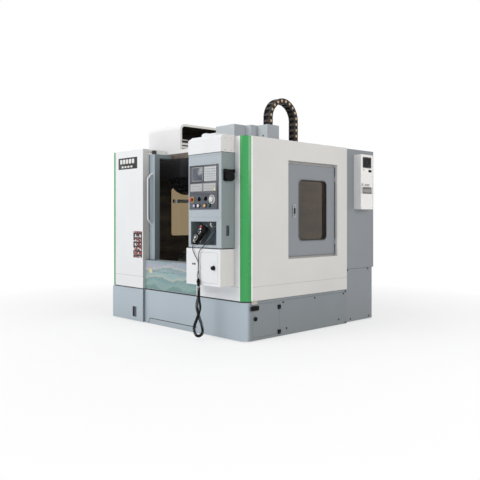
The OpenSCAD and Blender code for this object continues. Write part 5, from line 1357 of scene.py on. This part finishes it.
# %% Sweep and its white
def sweep_material():
    p = Paint("sweep")
    p.set(Base_Color=p.mix(p.noise(3.0, 4.0, 0.6), srgb(246, 246, 247), srgb(240, 240, 241)), Roughness=0.7,
          Specular_IOR_Level=0.1)
    seen, mirrored, through = (p.node("LightPath", out="Is " + ray + " Ray")
                               for ray in ("Camera", "Glossy", "Transmission"))
    white_light = p.node("Emission", None, (1.0, 1.0, 1.0), 1.0)
    near = p.ramp(p.node("VectorMath", {"operation": "LENGTH"}, p.place, out="Value"), 2.2, 4.6, 0.62, 1.0)
    share = p.node("Math", {"operation": "MINIMUM"}, near * (seen + mirrored + through), 1.0)
    both = p.node("MixShader", None, share, Wire(p, p.shader.outputs[0]), white_light)
    p.feed(next(n for n in p.tree.nodes if n.type == "OUTPUT_MATERIAL").inputs[0], both)
    return p


FLOOR_NEAR, FLOOR_FAR, WALL_HIGH, BEND, HALF_WIDE = -14.0, 9.0, 9.0, 2.5, 22.0


def build_sweep():
    """The floor, a quarter circle and the wall as one strip. It lies half a millimetre below the feet."""
    bm = bmesh.new()
    curve = [(FLOOR_FAR + BEND * math.sin(a), BEND * (1 - math.cos(a)))
             for a in (math.pi / 2 * i / 16 for i in range(17))]
    line = [(FLOOR_NEAR, 0.0)] + curve + [(FLOOR_FAR + BEND, WALL_HIGH)]
    rows = [[bm.verts.new((x, y, z - 0.0005)) for y, z in line] for x in (-HALF_WIDE, HALF_WIDE)]
    for i in range(len(line) - 1):
        bm.faces.new((rows[0][i], rows[1][i], rows[1][i + 1], rows[0][i + 1]))
    mesh = bpy.data.meshes.new("studio_sweep")
    bm.to_mesh(mesh)
    bm.free()
    mesh.shade_smooth()
    thing = bpy.data.objects.new("studio_sweep", mesh)
    thing.matrix_world = Matrix.Rotation(math.radians(CAMERA_TURN), 4, "Z")
    bpy.context.collection.objects.link(thing)
    mesh.materials.append(sweep_material().material)
    return thing


sweep = build_sweep()
print("sweep", len(sweep.data.polygons), "faces")

# %% [markdown]
# ## Lamps
# The photograph's front is a little lighter than its right side, and nothing has a hard shadow: one large
# soft lamp stands high on the front left, a weaker one fills the right side, a third hangs above, and the
# world fills the rest.

# %% World
world = bpy.data.worlds.new("studio")
bpy.context.scene.world = world
world.use_nodes = True
tree = world.node_tree
background = tree.nodes["Background"]
background.inputs[0].default_value = (1.0, 1.0, 1.0, 1)
path = tree.nodes.new("ShaderNodeLightPath")
seen = path.outputs["Is Camera Ray"]
for ray in ("Is Glossy Ray", "Is Transmission Ray"):
    either = tree.nodes.new("ShaderNodeMath")
    either.operation = "MAXIMUM"
    tree.links.new(seen, either.inputs[0])
    tree.links.new(path.outputs[ray], either.inputs[1])
    seen = either.outputs[0]
strength = tree.nodes.new("ShaderNodeMapRange")
tree.links.new(seen, strength.inputs[0])
strength.inputs["To Min"].default_value = 0.48
strength.inputs["To Max"].default_value = 1.0
tree.links.new(strength.outputs[0], background.inputs[1])
print("world ready")


# %% Lamps
def lamp(name, at, towards, size, watts, colour=(1, 1, 1)):
    data = bpy.data.lights.new(name, "AREA")
    data.shape = "RECTANGLE"
    data.size, data.size_y = size
    data.energy = watts
    data.color = colour
    thing = bpy.data.objects.new(name, data)
    thing.location = at
    thing.rotation_euler = (Vector(towards) - Vector(at)).to_track_quat("-Z", "Y").to_euler()
    bpy.context.collection.objects.link(thing)


lamp("front_lamp", (-1.5, -6.5, 4.2), (0, -0.6, 1.1), (4.0, 3.0), 190, (1.0, 0.99, 0.97))
lamp("right_lamp", (6.8, -0.4, 3.2), (0.8, 0.2, 1.1), (3.5, 3.0), 150, (0.98, 0.99, 1.0))
lamp("top_lamp", (0.3, 0.2, 6.0), (0, 0, 0), (4.0, 4.0), 70)
print("lamps:", len(bpy.data.lights))

# %% [markdown] ## Size Dressing must not change the machine's size.

# %% Finish
OUTSIDE = 0.003
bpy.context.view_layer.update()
bpy.context.scene.view_settings.view_transform = "Standard"
for piece in bpy.data.objects:
    if piece.type == "MESH" and piece.get("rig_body"):
        corners = [piece.matrix_world @ Vector(c) for c in piece.bound_box]
        pokes = [max(c[i] for c in corners) - cad_box[1][i] for i in range(3)]
        pokes += [cad_box[0][i] - min(c[i] for c in corners) for i in range(3)]
        if max(pokes) > OUTSIDE:
            print("outside the model's box:", piece.name, [round(v, 3) for v in pokes])
